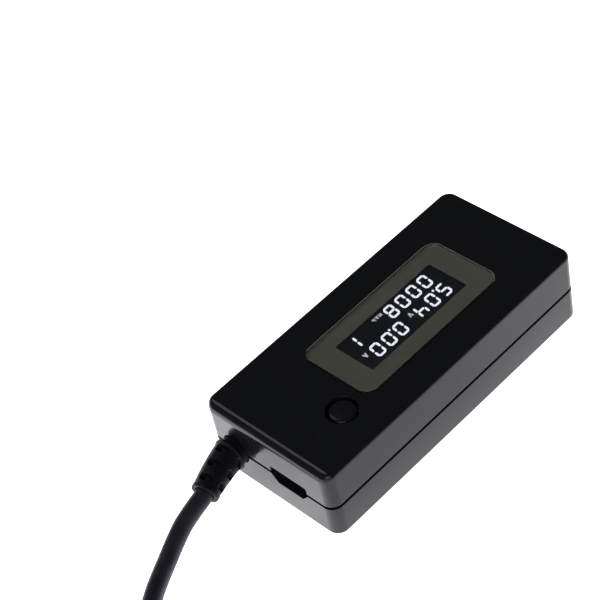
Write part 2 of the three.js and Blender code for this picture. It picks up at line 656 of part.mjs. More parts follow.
/** A flat strip under the tongue with one shallow bend where the plug's contact lands. */
function outputContact(y) {
  const { width, thickness, gap, setback, dip, dipStart, dipMiddle } = CONTACT;
  const top = OUTPUT_TONGUE.top - OUTPUT_TONGUE.thickness - gap;
  const [x0, x1] = [outputBack + OUTPUT_TONGUE.back + gap, outputFront - OUTPUT_TONGUE.setback - setback];
  const line = [[x0, top], [x1 - dipStart, top], [x1 - dipMiddle, top - dip], [x1, top]];
  const under = line.map(([x, z]) => [x, z - thickness]).reverse();
  const strip = prism(polygon([...line, ...under]), -width / 2, width / 2);
  return strip.rotateX(Math.PI / 2).translate(0, y, 0);
}

function outputSocketParts() {
  return [
    part('output_socket_shell', outputShell(), TIN, 0.25, 1),
    part('output_socket_tongue', outputTongue(), SOCKET_WHITE, 0.5),
    ...USB_PITCHES.map((y, i) => part(`output_contact_${i + 1}`, outputContact(y), GOLD, 0.25, 1)),
  ];
}

// ---------------------------------------------------------------- micro socket

const microTop = boardTop + MICRO.height;
const microBack = MICRO.front + MICRO.length;

/** The socket's outline, wide at the top and drawn in at the foot, set in by a distance. */
function microOutline(distance) {
  const [half, foot] = [MICRO.width / 2 - distance, MICRO.foot / 2 - distance * 0.6];
  const [low, high] = [boardTop + distance, microTop - distance];
  const shoulder = boardTop + MICRO.chamfer + distance * 0.3;
  const right = [[foot, low], [half, shoulder], [half, high]];
  const points = [[-foot, low], ...right, [-half, high], [-half, shoulder]];
  return points.map(([y, z]) => [y + MICRO.y, z]);
}

function microShell() {
  const outline = polygon(microOutline(0));
  outline.holes.push(polygon(microOutline(MICRO.wall)));
  return prismX(outline, MICRO.front, microBack);
}

const microTongueTop = microTop - MICRO.wall - MICRO_TONGUE.drop;

function microTongue() {
  const { width, thickness, setback, back, gap } = MICRO_TONGUE;
  const block = prismX(polygon(microOutline(MICRO.wall + gap)), microBack - back, microBack);
  const tongue = box(MICRO.front + setback, microBack - BITE, MICRO.y - width / 2, MICRO.y + width / 2,
    microTongueTop - thickness, microTongueTop);
  return join(block, tongue);
}

function microContact(index) {
  const { count, pitch, width, thickness, gap, setback } = MICRO_CONTACT;
  const y = MICRO.y + (index - (count - 1) / 2) * pitch;
  const top = microTongueTop - MICRO_TONGUE.thickness - gap;
  const [x0, x1] = [MICRO.front + MICRO_TONGUE.setback + setback, microBack - MICRO_TONGUE.back - gap];
  return slab((x0 + x1) / 2, y, x1 - x0, width, top - thickness, top);
}

function microSocketParts() {
  const contacts = [];
  for (let i = 0; i < MICRO_CONTACT.count; i++) {
    contacts.push(part(`micro_contact_${i + 1}`, microContact(i), GOLD, 0.25, 1));
  }
  return [
    part('micro_socket_shell', microShell(), 0xc4c6c8, 0.28, 1),
    part('micro_socket_tongue', microTongue(), 0x17181a, 0.5),
    ...contacts,
  ];
}

// ---------------------------------------------------------------- strain relief and inner wires

const reliefCurve = smoothPath(RELIEF_AXIS);
const reliefLength = reliefCurve.getLength();

/** Moves a piece built along +Z, from z = 0, onto a curve that z measures the distance along. */
function bendAlong(geometry, curve) {
  const length = curve.getLength();
  const up = new THREE.Vector3(0, 0, 1);
  const position = geometry.attributes.position;
  for (let i = 0; i < position.count; i++) {
    const along = position.getZ(i);
    const u = Math.min(Math.max(along / length, 0), 1);
    const forward = curve.getTangentAt(u);
    const side = new THREE.Vector3().crossVectors(up, forward).normalize();
    const top = new THREE.Vector3().crossVectors(forward, side);
    const spot = curve.getPointAt(u).addScaledVector(forward, along - u * length);
    spot.addScaledVector(side, position.getX(i)).addScaledVector(top, position.getY(i));
    position.setXYZ(i, spot.x, spot.y, spot.z);
  }
  return geometry;
}

/** A short capsule across the sleeve, which scoops one oval pocket out of it. */
function pocketCutter(angle, along) {
  const { half, radius, depth } = RELIEF_POCKET;
  const taper = RELIEF.root + (RELIEF.tip - RELIEF.root) * (along / reliefLength);
  const capsule = new THREE.CapsuleGeometry(radius, 2 * half - 2 * radius, 2, 8);
  capsule.rotateZ(Math.PI / 2).translate(0, taper - depth + radius, along);
  return capsule.rotateZ(angle);
}

/** Half the sleeve's section, as [radius, distance from the case's outside], from the axis to the axis. */
function reliefProfile() {
  const { neck, flangeStart, flange, flangeThickness, blend, root, tip } = RELIEF;
  const { radius, length, edge } = RELIEF_COLLAR;
  const wall = CASE.wall + RELIEF_INNER.gap;
  const flangeEnd = flangeStart + flangeThickness;
  const round = flangeThickness / 3;
  const bodyStart = flangeEnd + blend;
  const bodyEnd = reliefLength - length - RELIEF_COLLAR.blend;
  const profile = [
    [0, -wall - RELIEF_INNER.thickness], [RELIEF_INNER.radius, -wall - RELIEF_INNER.thickness],
    [RELIEF_INNER.radius, -wall], [neck, -wall], [neck, flangeStart], [flange - round, flangeStart],
    [flange, flangeStart + round], [flange, flangeEnd - round], [flange - round, flangeEnd],
    [root + blend / 2, flangeEnd], [root, bodyStart],
  ];
  const rings = 5;
  for (let i = 1; i <= rings; i++) {
    const t = i / rings;
    profile.push([root + (tip - root) * t, bodyStart + (bodyEnd - bodyStart) * t]);
  }
  profile.push(
    [radius, reliefLength - length], [radius, reliefLength - edge],
    [radius - edge, reliefLength], [0, reliefLength]);
  return profile;
}

function strainRelief() {
  const { rows, count, first, pitch } = RELIEF_POCKET;
  const cutters = [];
  for (let row = 0; row < rows; row++) {
    for (let i = 0; i < count; i++) {
      cutters.push(pocketCutter((row * 2 * Math.PI) / rows, first + i * pitch));
    }
  }
  return bendAlong(cut(turned(reliefProfile(), 0, 0, 20), ...cutters), reliefCurve);
}

/** One of the cord's four conductors, from the strain relief to its pad on the board. */
function innerWire({ dy, dz, padY }) {
  const height = BOARD.top + WIRE.radius + WIRE.lift;
  const [startY, startZ] = [EXIT.y + dy, EXIT.z + dz];
  const points = [
    [WIRE.startX, startY, startZ], [WIRE.startX + 1.2, startY, startZ], [WIRE.padX - 2.4, padY, height + 0.5],
    [WIRE.padX - 0.9, padY, height], [WIRE.padX, padY, height],
  ];
  return rod(points, WIRE.radius, WIRE.sides, WIRE.steps);
}

function cordEntryParts() {
  return [
    part('strain_relief', strainRelief(), CORD_BLACK, 0.45),
    ...WIRES.map((wire) => part(wire.name, innerWire(wire), wire.color, 0.45)),
  ];
}

// ---------------------------------------------------------------- cord and plug

function cableJacket() {
  const steps = Math.round(smoothPath(CORD_ROUTE).getLength() / CORD.step);
  return rod(CORD_ROUTE, CORD.radius, CORD.sides, steps);
}

// The plug is built along +X from the back of its neck, with its middle at z = 0.
const gripBack = PLUG.neck;
const gripFront = PLUG.neck + PLUG_GRIP.length;
const shellBack = gripFront - PLUG_SHELL.inside;
const shellFront = gripFront + PLUG_SHELL.exposed;

/** The tapered neck that the cord enters, running into the grip. */
function plugNeck() {
  const { neck, neckRear, neckFront, neckEdge } = PLUG;
  const end = neck + PAST;
  const profile = [[0, 0], [neckRear - neckEdge, 0], [neckRear, neckEdge], [neckFront, end], [0, end]];
  return turned(profile, 0, 0, 20).rotateY(Math.PI / 2);
}

function plugGrip() {
  const { length, width, thickness, corner, edge, pocket } = PLUG_GRIP;
  const body = pillow(length, width, corner, edge, -thickness / 2, thickness / 2, gripBack + length / 2, 0);
  const grooves = [];
  for (const side of [-1, 1]) {
    for (let i = 0; i < PLUG_RIDGE.count; i++) {
      const x = gripBack + PLUG_RIDGE.first + i * PLUG_RIDGE.pitch;
      const y = side * (width + PAST - PLUG_RIDGE.depth) / 2;
      grooves.push(slab(x, y, PLUG_RIDGE.width, PLUG_RIDGE.depth + PAST, -thickness, thickness));
    }
  }
  const { clearance } = PLUG_SHELL;
  const [halfY, halfZ] = [PLUG_SHELL.width / 2 + clearance, PLUG_SHELL.height / 2 + clearance];
  const socket = box(gripFront - pocket, gripFront + PAST, -halfY, halfY, -halfZ, halfZ);
  return cut(join(body, plugNeck()), socket, ...grooves);
}

function plugShell() {
  const { width, height, wall, corner } = PLUG_SHELL;
  const outline = roundedRectangle(width, height, corner);
  outline.holes.push(roundedRectangle(width - 2 * wall, height - 2 * wall, corner - 0.2));
  const tube = prismX(outline, shellBack, shellFront, 3);
  const windows = [];
  for (const y of [-PLUG_WINDOW.y, PLUG_WINDOW.y]) {
    windows.push(slab(gripFront + PLUG_WINDOW.x, y, PLUG_WINDOW.size, PLUG_WINDOW.size, -height, height));
  }
  return cut(tube, ...windows);
}

const insulatorBottom = -PLUG_SHELL.height / 2 + PLUG_SHELL.wall + PLUG_INSULATOR.lift;
const insulatorTop = insulatorBottom + PLUG_INSULATOR.thickness;

function plugInsulator() {
  const half = PLUG_INSULATOR.width / 2;
  const [x0, x1] = [shellBack + PLUG_INSULATOR.back, shellFront - PLUG_INSULATOR.setback];
  return box(x0, x1, -half, half, insulatorBottom, insulatorTop);
}

/** The two outer contacts reach further back than the two inner ones. */
function plugContact(y) {
  const length = Math.abs(y) > USB_PITCHES[2] ? PLUG_CONTACT.outer : PLUG_CONTACT.inner;
  const front = shellFront - PLUG_INSULATOR.setback - PLUG_CONTACT.setback;
  const z = insulatorTop + CONTACT.gap;
  return slab(front - length / 2, y, length, CONTACT.width, z, z + CONTACT.thickness);
}

function plugParts() {
  return [
    part('plug_grip', plugGrip(), CORD_BLACK, 0.45),
    part('plug_shell', plugShell(), TIN, 0.25, 1),
    part('plug_insulator', plugInsulator(), SOCKET_WHITE, 0.5),
    ...USB_PITCHES.map((y, i) => part(`plug_contact_${i + 1}`, plugContact(y), GOLD, 0.25, 1)),
  ];
}

// ---------------------------------------------------------------- assembly

const meter = new THREE.Group();
meter.add(
  part('top_cover', topCover(), BODY_BLACK, 0.35),
  part('bottom_cover', bottomCover(), BODY_BLACK, 0.35),
  part('display_window', displayWindow(), 0x45463f, 0.1),
  ...displayStack(),
  part('backlight_lamp', backlightLamp(), 0xf4f4ee, 0.3),
  part('zebra_strip', zebraStrip(), 0xd77f8e, 0.6),
  ...boardParts(),
  ...buttonParts(),
  ...outputSocketParts(),
  ...microSocketParts(),
  ...cordEntryParts(),
  part('cable_jacket', cableJacket(), CORD_BLACK, 0.45),
);

const plug = new THREE.Group();
plug.add(...plugParts());
const [plugX, plugY, plugZ] = CORD_ROUTE[CORD_ROUTE.length - 1];
const heading = THREE.MathUtils.degToRad(PLUG.heading);
plug.position.set(plugX + PLUG.gap * Math.cos(heading), plugY + PLUG.gap * Math.sin(heading), plugZ);
plug.rotation.z = heading;
meter.add(plug);

export default meter;
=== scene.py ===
"""USB power meter: detailed pieces, materials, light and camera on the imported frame.

Lengths in this file are millimetres unless a name says otherwise, and MM turns them into metres.
+X runs from the corded end to the output socket, +Z is up, and the case stands on z = 0.
"""
from math import acos, cos, hypot, pi, radians, sin, sqrt

import bmesh
import bpy
from mathutils import Matrix, Vector


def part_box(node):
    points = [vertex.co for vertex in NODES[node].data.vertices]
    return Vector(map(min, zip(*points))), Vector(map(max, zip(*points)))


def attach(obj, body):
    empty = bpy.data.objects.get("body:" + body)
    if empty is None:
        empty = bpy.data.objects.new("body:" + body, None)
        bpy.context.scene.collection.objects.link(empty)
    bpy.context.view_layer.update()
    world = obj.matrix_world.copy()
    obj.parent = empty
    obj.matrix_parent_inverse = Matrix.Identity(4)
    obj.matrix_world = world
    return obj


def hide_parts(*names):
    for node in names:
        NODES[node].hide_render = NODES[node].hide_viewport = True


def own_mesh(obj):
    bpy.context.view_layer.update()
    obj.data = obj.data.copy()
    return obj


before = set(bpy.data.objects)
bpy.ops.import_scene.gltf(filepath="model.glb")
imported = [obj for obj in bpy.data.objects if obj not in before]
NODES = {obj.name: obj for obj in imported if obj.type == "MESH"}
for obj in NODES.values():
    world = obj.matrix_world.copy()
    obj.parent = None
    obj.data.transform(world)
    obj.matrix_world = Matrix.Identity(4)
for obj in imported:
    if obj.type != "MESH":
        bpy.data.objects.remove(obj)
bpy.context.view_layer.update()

MM = 0.001

# ---------------------------------------------------------------- sizes, as in the frame

CASE = dict(length=62.8, width=29, height=14.7, wall=1.6, top=1.5, corner=2.2)
CASE_EDGE = dict(upper=0.8, corded_end=1.7, lower=0.3)
SEAM_LOW, SEAM_HIGH, LIP_TOP = 6.45, 7.05, 7.85
LIP_THICKNESS, LIP_GAP = 0.7, 0.15
CATCH = dict(length=5, depth=0.3, height=0.4, z=7.5, spacing=30, gap=0.15)
EDGE_WEAR = 0.055
CEILING = CASE["height"] - CASE["top"]
INNER_WIDTH = CASE["width"] - 2 * CASE["wall"]

WINDOW = dict(
    x=2.8, y=0.1, length=33.75, width=15.8, corner=2.4, thickness=1.05, top=14.8, bevel=0.2, gap=0.12,
)
VIEW = dict(x=3, y=0.35, length=26, width=10, corner=1)
GLASS = dict(x=3, y=1.4, length=28, width=14.6)
RIB = dict(gap=0.25, thickness=0.7, bottom=9.5)
PRINT = dict(x=3.1, y=0.33, length=24.13, width=8.73, corner=0.3, margin=0.05, thickness=0.04)
# Sizes of the pale bead that paints the highlight along the window plate's far edges.
HIGHLIGHT_BEAD = dict(inner=0.02, outer=0.08, below=0.03, step=0.3)

BUTTON = dict(
    x=-18.77, y=-6.22, hole=2.93, radius=2.62, top=14.75, edge=0.8, dome=0.12, post=10.45, flange=12.5,
)
BUTTON_GUIDE = dict(inner=3.7, outer=4.6, bottom=11.6)
DOME = dict(radius=2.1, rise=0.6, thickness=0.12, bottom=6.65, pressed=0.5)
SLOT = dict(y=-4.28, top=8.35, shoulder=6.3, bottom=4.85, half_top=4.17, half_bottom=2.85, corner=0.4)
EXIT = dict(y=8.3, z=6.65, hole=2.95)
OUTPUT = dict(width=13.8, bottom=4.75, top=11.25, corner=0.6)

BOARD_UNDER = 3.75
SCREWS = ((-13.6, 10.2), (12.5, -10.2))

RELIEF_AXIS = (
    (-31.4, 8.3, 6.65), (-33.2, 8.3, 6.65), (-35.6, 7.85, 6.5), (-38.3, 7.2, 6.2), (-41.1, 6.4, 5.8),
)
# The flange that shows is a little narrower than the frame's.
RELIEF = dict(neck=2.75, flange_start=1.2, flange=3.22, flange_end=1.7, root=2.95, tip=2.4, collar=0.1)
# The part of the sleeve that grips the case wall from inside, as (distance along the axis, radius).
RELIEF_ANCHOR = ((-2.58, 0), (-2.58, 3.4), (-2.4, 3.6), (-1.85, 3.6), (-1.68, 3.45))
RELIEF_TIP = dict(edge=0.2, mouth=1.85, lead=1.76, bore=1.72, bore_depth=1.4)
POCKETS = dict(first=2.5, pitch=2.75, count=3, half=1.35, radius=0.72, depth=0.95)

CORD_RADIUS = 1.65
# The cord's centreline: from inside the sleeve's tip to inside the back of the plug.
CORD_ROUTE = (
    (-39.97, 6.73, 5.97), (-41.55, 6.3, 5.7), (-44.2, 6.1, 5), (-47.1, 5.85, 4), (-50, 5.15, 2.9),
    (-52.85, 4.1, 2.15), (-56.2, 2.6, 1.78), (-59.2, 0.9, 1.75), (-62.4, -1.5, 1.75),
    (-65.3, -4.7, 1.75), (-67.5, -8.6, 1.75), (-68.7, -13.1, 1.75), (-68.8, -17.9, 1.75),
    (-67.9, -22.6, 1.75), (-66.2, -27.1, 1.75), (-63.8, -31.2, 1.75), (-60.9, -35, 1.75),
    (-57.6, -38.6, 1.82), (-54.1, -42, 2.2), (-50.5, -45.2, 2.95), (-46.9, -48.3, 3.75),
    (-45.4, -49.6, 3.95), (-44.42, -50.45, 3.95),
)
PLUG_HEADING = radians(-40.9)
PLUG_START = (-45.4 + 0.3 * cos(PLUG_HEADING), -49.6 + 0.3 * sin(PLUG_HEADING), 3.95)
GRIP = dict(back=7, length=20, width=15.6, thickness=7.8, corner=2.4, edge=0.9)

# ---------------------------------------------------------------- camera

CAMERA_AT = (-143.3, -170.3, 245.9)
CAMERA_RIGHT = (0.685748, -0.709155, -0.163856)
CAMERA_UP = (0.592861, 0.413642, 0.690953)
CAMERA_FORWARD = (0.422215, 0.570963, -0.704085)
CAMERA_LENS = 113.15


def make_camera():
    data = bpy.data.cameras.new("camera")
    data.sensor_fit = "HORIZONTAL"
    data.sensor_width = 36
    data.lens = CAMERA_LENS
    data.clip_start, data.clip_end = 0.01, 20
    camera = bpy.data.objects.new("camera", data)
    bpy.context.scene.collection.objects.link(camera)
    turn = Matrix((CAMERA_RIGHT, CAMERA_UP, -Vector(CAMERA_FORWARD))).transposed()
    camera.matrix_world = Matrix.Translation(Vector(CAMERA_AT) * MM) @ turn.to_4x4()
    bpy.context.scene.camera = camera


make_camera()

# ---------------------------------------------------------------- node materials


class Look:
    """A node material being put together round its Principled shader."""

    def __init__(self, name, color, roughness, metallic=0.0, **sockets):
        self.material = bpy.data.materials.new(name)
        self.material.use_nodes = True
        self.tree = self.material.node_tree
        self.shader = self.tree.nodes["Principled BSDF"]
        self.place = self.tree.nodes.new("ShaderNodeTexCoord").outputs["Object"]
        self.normal = None
        self.put("Base Color", (*color, 1))
        self.put("Roughness", roughness)
        self.put("Metallic", metallic)
        for socket, value in sockets.items():
            self.put(socket.replace("_", " "), value)
        self.material.diffuse_color = (*color, 1)

    def put(self, socket, value):
        self.shader.inputs[socket].default_value = value

    def link(self, output, socket):
        self.tree.links.new(output, self.shader.inputs[socket])

    def noise(self, size, detail=3.0, rough=0.55, stretch=(1, 1, 1)):
        """Noise whose features are about size millimetres across, longer where stretch is more."""
        mapping = self.tree.nodes.new("ShaderNodeMapping")
        mapping.inputs["Scale"].default_value = [1 / (size * MM * s) for s in stretch]
        self.tree.links.new(self.place, mapping.inputs["Vector"])
        node = self.tree.nodes.new("ShaderNodeTexNoise")
        node.inputs["Scale"].default_value = 1
        node.inputs["Detail"].default_value = detail
        node.inputs["Roughness"].default_value = rough
        self.tree.links.new(mapping.outputs["Vector"], node.inputs["Vector"])
        return node.outputs["Fac"]

    def stripes(self, size, direction="X"):
        """Even bands, size millimetres from one to the next."""
        mapping = self.tree.nodes.new("ShaderNodeMapping")
        mapping.inputs["Scale"].default_value = [1 / (size * MM)] * 3
        self.tree.links.new(self.place, mapping.inputs["Vector"])
        node = self.tree.nodes.new("ShaderNodeTexWave")
        node.bands_direction = direction
        node.inputs["Scale"].default_value = 1 / pi
        node.inputs["Distortion"].default_value = 0.4
        self.tree.links.new(mapping.outputs["Vector"], node.inputs["Vector"])
        return node.outputs["Fac"]

    def ramp(self, value, stops):
        """Turns a value into a colour; stops are (position, colour)."""
        node = self.tree.nodes.new("ShaderNodeValToRGB")
        elements = node.color_ramp.elements
        while len(elements) < len(stops):
            elements.new(0.5)
        for element, (position, color) in zip(elements, stops):
            element.position = position
            element.color = (*color, 1)
        self.tree.links.new(value, node.inputs["Fac"])
        return node.outputs["Color"]

    def spread(self, value, low, high, start=0.3, end=0.7):
        """Stretches the start to end part of a value onto low to high."""
        node = self.tree.nodes.new("ShaderNodeMapRange")
        for socket, number in (("From Min", start), ("From Max", end), ("To Min", low), ("To Max", high)):
            node.inputs[socket].default_value = number
        self.tree.links.new(value, node.inputs["Value"])
        return node.outputs["Result"]

    def color(self, value, stops):
        self.link(self.ramp(value, stops), "Base Color")

    def roughness(self, value, low, high, start=0.3, end=0.7):
        self.link(self.spread(value, low, high, start, end), "Roughness")

    def bump(self, height, depth, strength=1.0):
        """Adds relief of about depth millimetres on top of any that is already there."""
        node = self.tree.nodes.new("ShaderNodeBump")
        node.inputs["Strength"].default_value = strength
        node.inputs["Distance"].default_value = depth * MM
        self.tree.links.new(height, node.inputs["Height"])
        if self.normal:
            self.tree.links.new(self.normal, node.inputs["Normal"])
        self.normal = node.outputs["Normal"]
        self.link(self.normal, "Normal")


def shade(color, factor):
    return tuple(c * factor for c in color)


def moulded_plastic(name, color, roughness, grain=0.22, depth=0.004):
    """Injection-moulded plastic: fine grain, a slightly cloudy tone and a slowly varying gloss."""
    look = Look(name, color, roughness)
    cloudy = look.noise(5.5, detail=4)
    look.color(cloudy, ((0.3, shade(color, 0.82)), (0.55, color), (0.75, shade(color, 1.3))))
    look.roughness(look.noise(1.6, detail=5, rough=0.65), roughness - 0.05, roughness + 0.07)
    look.bump(look.noise(grain, detail=2), depth, 0.6)
    look.bump(look.noise(1.1, detail=2), depth * 1.6, 0.5)
    return look.material


def plated_metal(name, color, roughness, stretch=(6, 1, 1)):
    """Rolled and plated sheet: fine draw lines and a slightly uneven gloss."""
    look = Look(name, color, roughness, metallic=1.0)
    drawn = look.noise(0.12, detail=4, stretch=stretch)
    look.color(look.noise(2.2, detail=4), ((0.3, shade(color, 0.82)), (0.7, shade(color, 1.08))))
    look.roughness(drawn, roughness - 0.06, roughness + 0.12)
    look.bump(drawn, 0.0025, 0.5)
    return look.material


def flexible_plastic(name, color, roughness, specular=0.5):
    """Soft cable compound: satin, with a fine matt skin and shallow waviness."""
    look = Look(name, color, roughness, Specular_IOR_Level=specular)
    look.color(look.noise(3.5, detail=4), ((0.3, shade(color, 0.8)), (0.7, shade(color, 1.25))))
    look.roughness(look.noise(0.8, detail=4), roughness - 0.06, roughness + 0.08)
    look.bump(look.noise(0.16, detail=2), 0.004, 0.5)
    look.bump(look.noise(2.4, detail=2), 0.02, 0.4)
    return look.material


def window_clear():
    look = Look("window_clear", (0.93, 0.94, 0.93), 0.03, Transmission_Weight=1.0, IOR=1.49)
    hairlines = look.noise(0.09, detail=5, rough=0.7, stretch=(30, 1, 1))
    look.roughness(hairlines, 0.015, 0.07, 0.45, 0.75)
    look.bump(look.noise(3.0, detail=2), 0.003, 0.4)
    return look.material


def window_print():
    look = Look("window_print", (0.50, 0.50, 0.38), 0.5)
    speckle = look.noise(0.12, detail=3)
    look.color(speckle, ((0.3, (0.455, 0.455, 0.34)), (0.7, (0.545, 0.545, 0.42))))
    look.roughness(look.noise(1.2), 0.42, 0.56)
    look.bump(speckle, 0.004, 0.5)
    return look.material


# A pale colour for the painted highlight round the window plate.
def window_edge_highlight():
    look = Look("window_edge_highlight", (0.82, 0.80, 0.73), 0.45)
    cloudy = look.noise(1.8, detail=3)
    look.color(cloudy, ((0.3, (0.75, 0.73, 0.66)), (0.7, (0.88, 0.86, 0.79))))
    look.roughness(look.noise(0.7), 0.38, 0.52)
    look.bump(look.noise(0.2), 0.004, 0.4)
    return look.material


def polariser_dark():
    look = Look("polariser_dark", (0.0022, 0.0023, 0.0048), 0.28, Specular_IOR_Level=0.25)
    glow = look.noise(4.5, detail=2)
    tint = look.ramp(glow, ((0.3, (0.0012, 0.0012, 0.0060)), (0.7, (0.0024, 0.0022, 0.0100))))
    look.link(tint, "Emission Color")
    look.put("Emission Strength", 0.15)
    look.color(look.noise(0.2), ((0.35, (0.0018, 0.0019, 0.0042)), (0.65, (0.0028, 0.0028, 0.0056))))
    look.bump(look.noise(0.3), 0.002, 0.3)
    return look.material


def lit_marks(name, strength):
    look = Look(name, shade((0.6, 0.62, 0.7), strength), 0.4)
    cells = look.noise(0.5, detail=2)
    look.link(look.ramp(cells, ((0.3, (0.80, 0.84, 1.0)), (0.7, (0.92, 0.94, 1.0)))), "Emission Color")
    look.put("Emission Strength", strength)
    look.bump(cells, 0.003, 0.3)
    return look.material


def display_glass():
    look = Look("display_glass", (0.86, 0.92, 0.9), 0.02, Transmission_Weight=1.0, IOR=1.52)
    look.roughness(look.noise(2.5), 0.01, 0.05)
    look.bump(look.noise(6), 0.004, 0.3)
    return look.material


def backlight_white():
    look = Look("backlight_white", (0.86, 0.88, 0.92), 0.4, Subsurface_Weight=0.1)
    look.color(look.noise(1.8), ((0.3, (0.80, 0.82, 0.87)), (0.7, (0.9, 0.92, 0.95))))
    look.roughness(look.noise(0.5), 0.34, 0.48)
    look.bump(look.noise(0.25), 0.006, 0.5)
    return look.material


def zebra_pink():
    look = Look("zebra_pink", (0.68, 0.22, 0.27), 0.6)
    bands = look.stripes(0.1)
    look.color(bands, ((0.35, (0.03, 0.03, 0.035)), (0.5, (0.55, 0.16, 0.2)), (0.7, (0.72, 0.25, 0.3))))
    look.roughness(look.noise(0.4), 0.5, 0.7)
    look.bump(bands, 0.01, 0.4)
    return look.material


def board_green():
    look = Look("board_green", (0.012, 0.09, 0.032), 0.35, Coat_Weight=0.3, Coat_Roughness=0.2)
    traces = look.tree.nodes.new("ShaderNodeTexBrick")
    traces.inputs["Scale"].default_value = 420
    traces.inputs["Mortar Size"].default_value = 0.03
    traces.inputs["Color1"].default_value = (0.010, 0.075, 0.027, 1)
    traces.inputs["Color2"].default_value = (0.013, 0.095, 0.034, 1)
    traces.inputs["Mortar"].default_value = (0.03, 0.16, 0.05, 1)
    look.tree.links.new(look.place, traces.inputs["Vector"])
    look.link(traces.outputs["Color"], "Base Color")
    look.roughness(look.noise(0.8), 0.28, 0.42)
    look.bump(traces.outputs["Fac"], 0.02, 0.5)
    look.bump(look.noise(0.15), 0.004, 0.4)
    return look.material


def ceramic(name, color, roughness):
    look = Look(name, color, roughness)
    look.color(look.noise(0.35, detail=5), ((0.3, shade(color, 0.75)), (0.7, shade(color, 1.2))))
    look.roughness(look.noise(0.6), roughness - 0.08, roughness + 0.1)
    look.bump(look.noise(0.09, detail=4), 0.006, 0.6)
    return look.material


BLACK = (0.0110, 0.0113, 0.0140)
LOOKS = {
    "case_black": moulded_plastic("case_black", BLACK, 0.18),
    "button_black": moulded_plastic("button_black", shade(BLACK, 0.85), 0.22, grain=0.16),
    "window_clear": window_clear(),
    "window_print": window_print(),
    "window_edge_highlight": window_edge_highlight(),
    "polariser_dark": polariser_dark(),
    "lit_segments": lit_marks("lit_segments", 1.1),
    "lit_units": lit_marks("lit_units", 0.5),
    "display_glass": display_glass(),
    "backlight_white": backlight_white(),
    "zebra_pink": zebra_pink(),
    "board_green": board_green(),
    "chip_black": moulded_plastic("chip_black", (0.018, 0.018, 0.019), 0.55, grain=0.1, depth=0.006),
    "resistor_dark": ceramic("resistor_dark", (0.03, 0.031, 0.03), 0.45),
    "capacitor_tan": ceramic("capacitor_tan", (0.32, 0.2, 0.1), 0.4),
    "steel_bright": plated_metal("steel_bright", (0.62, 0.62, 0.63), 0.28, (1, 6, 1)),
    "shell_plated": plated_metal("shell_plated", (0.70, 0.69, 0.67), 0.22),
    "contact_gold": plated_metal("contact_gold", (0.83, 0.60, 0.26), 0.24),
    "socket_white": moulded_plastic("socket_white", (0.74, 0.73, 0.70), 0.42, grain=0.14),
    "socket_black": moulded_plastic("socket_black", (0.014, 0.014, 0.016), 0.45, grain=0.14),
    "wire_red": flexible_plastic("wire_red", (0.42, 0.02, 0.015), 0.42),
    "wire_black": flexible_plastic("wire_black", (0.012, 0.012, 0.013), 0.42),
    "wire_green": flexible_plastic("wire_green", (0.02, 0.2, 0.05), 0.42),
    "wire_white": flexible_plastic("wire_white", (0.75, 0.75, 0.72), 0.42),
    "cord_black": flexible_plastic("cord_black", (0.030, 0.029, 0.040), 0.48, specular=0.26),
    "sleeve_black": flexible_plastic("sleeve_black", (0.0085, 0.0085, 0.0125), 0.5, specular=0.22),
}

# ---------------------------------------------------------------- mesh building


def scene_object(name, data):
    piece = bpy.data.objects.new(name, data)
    bpy.context.scene.collection.objects.link(piece)
    return piece


def mesh_object(name, build):
    """A new mesh object from a bmesh whose points are millimetres."""
    bmesh.ops.scale(build, vec=(MM, MM, MM), verts=build.verts)
    data = bpy.data.meshes.new(name)
    build.to_mesh(data)
    build.free()
    return scene_object(name, data)


def rounded_plan(length, width, corner, x=0, y=0, segments=16):
    """Corner points of a rounded rectangle, anticlockwise."""
    points = []
    for side_x, side_y, start in ((1, -1, -90), (1, 1, 0), (-1, 1, 90), (-1, -1, 180)):
        middle = (x + side_x * (length / 2 - corner), y + side_y * (width / 2 - corner))
        for i in range(segments + 1):
            angle = radians(start + 90 * i / segments)
            points.append((middle[0] + corner * cos(angle), middle[1] + corner * sin(angle)))
    return points


def lofted(name, rings, closed_ends=True):
    """A skin over rings of equally many points, each anticlockwise about the way the rings run."""
    build = bmesh.new()
    rows = [[build.verts.new(point) for point in ring] for ring in rings]
    count = len(rows[0])
    for low, high in zip(rows, rows[1:]):
        for i in range(count):
            after = (i + 1) % count
            build.faces.new((low[i], low[after], high[after], high[i]))
    if closed_ends:
        build.faces.new(list(reversed(rows[0])))
        build.faces.new(rows[-1])
    return mesh_object(name, build)


def prism(name, plan, z0, z1):
    return lofted(name, [[(x, y, z) for x, y in plan] for z in (z0, z1)])


def prism_x(name, plan, x0, x1):
    """A prism along X whose outline is given in Y and Z."""
    return lofted(name, [[(x, y, z) for y, z in plan] for x in (x0, x1)])


def block(name, x0, x1, y0, y1, z0, z1):
    return prism(name, [(x0, y0), (x1, y0), (x1, y1), (x0, y1)], z0, z1)


def pillow(name, length, width, corner, edge, z0, z1, x=0, y=0, segments=16, steps=9):
    """A rounded rectangular block whose upper and lower edges are rounded too."""
    rings = []
    for i in range(2 * steps + 2):
        lower = i <= steps
        angle = radians(90 * (i if lower else 2 * steps + 1 - i) / steps)
        shrink = edge * (1 - sin(angle))
        rise = edge * (1 - cos(angle))
        z = z0 + rise if lower else z1 - rise
        plan = rounded_plan(length - 2 * shrink, width - 2 * shrink, corner - shrink, x, y, segments)
        rings.append([(px, py, z) for px, py in plan])
    return lofted(name, rings)


def skinned(name, build, rows):
    """A skin over rings of points, where a row of a single point is a pole."""
    for low, high in zip(rows, rows[1:]):
        count = max(len(low), len(high))
        for i in range(count):
            after = (i + 1) % count
            if len(low) == 1:
                build.faces.new((low[0], high[after], high[i]))
            elif len(high) == 1:
                build.faces.new((low[i], low[after], high[0]))
            else:
                build.faces.new((low[i], low[after], high[after], high[i]))
    return mesh_object(name, build)


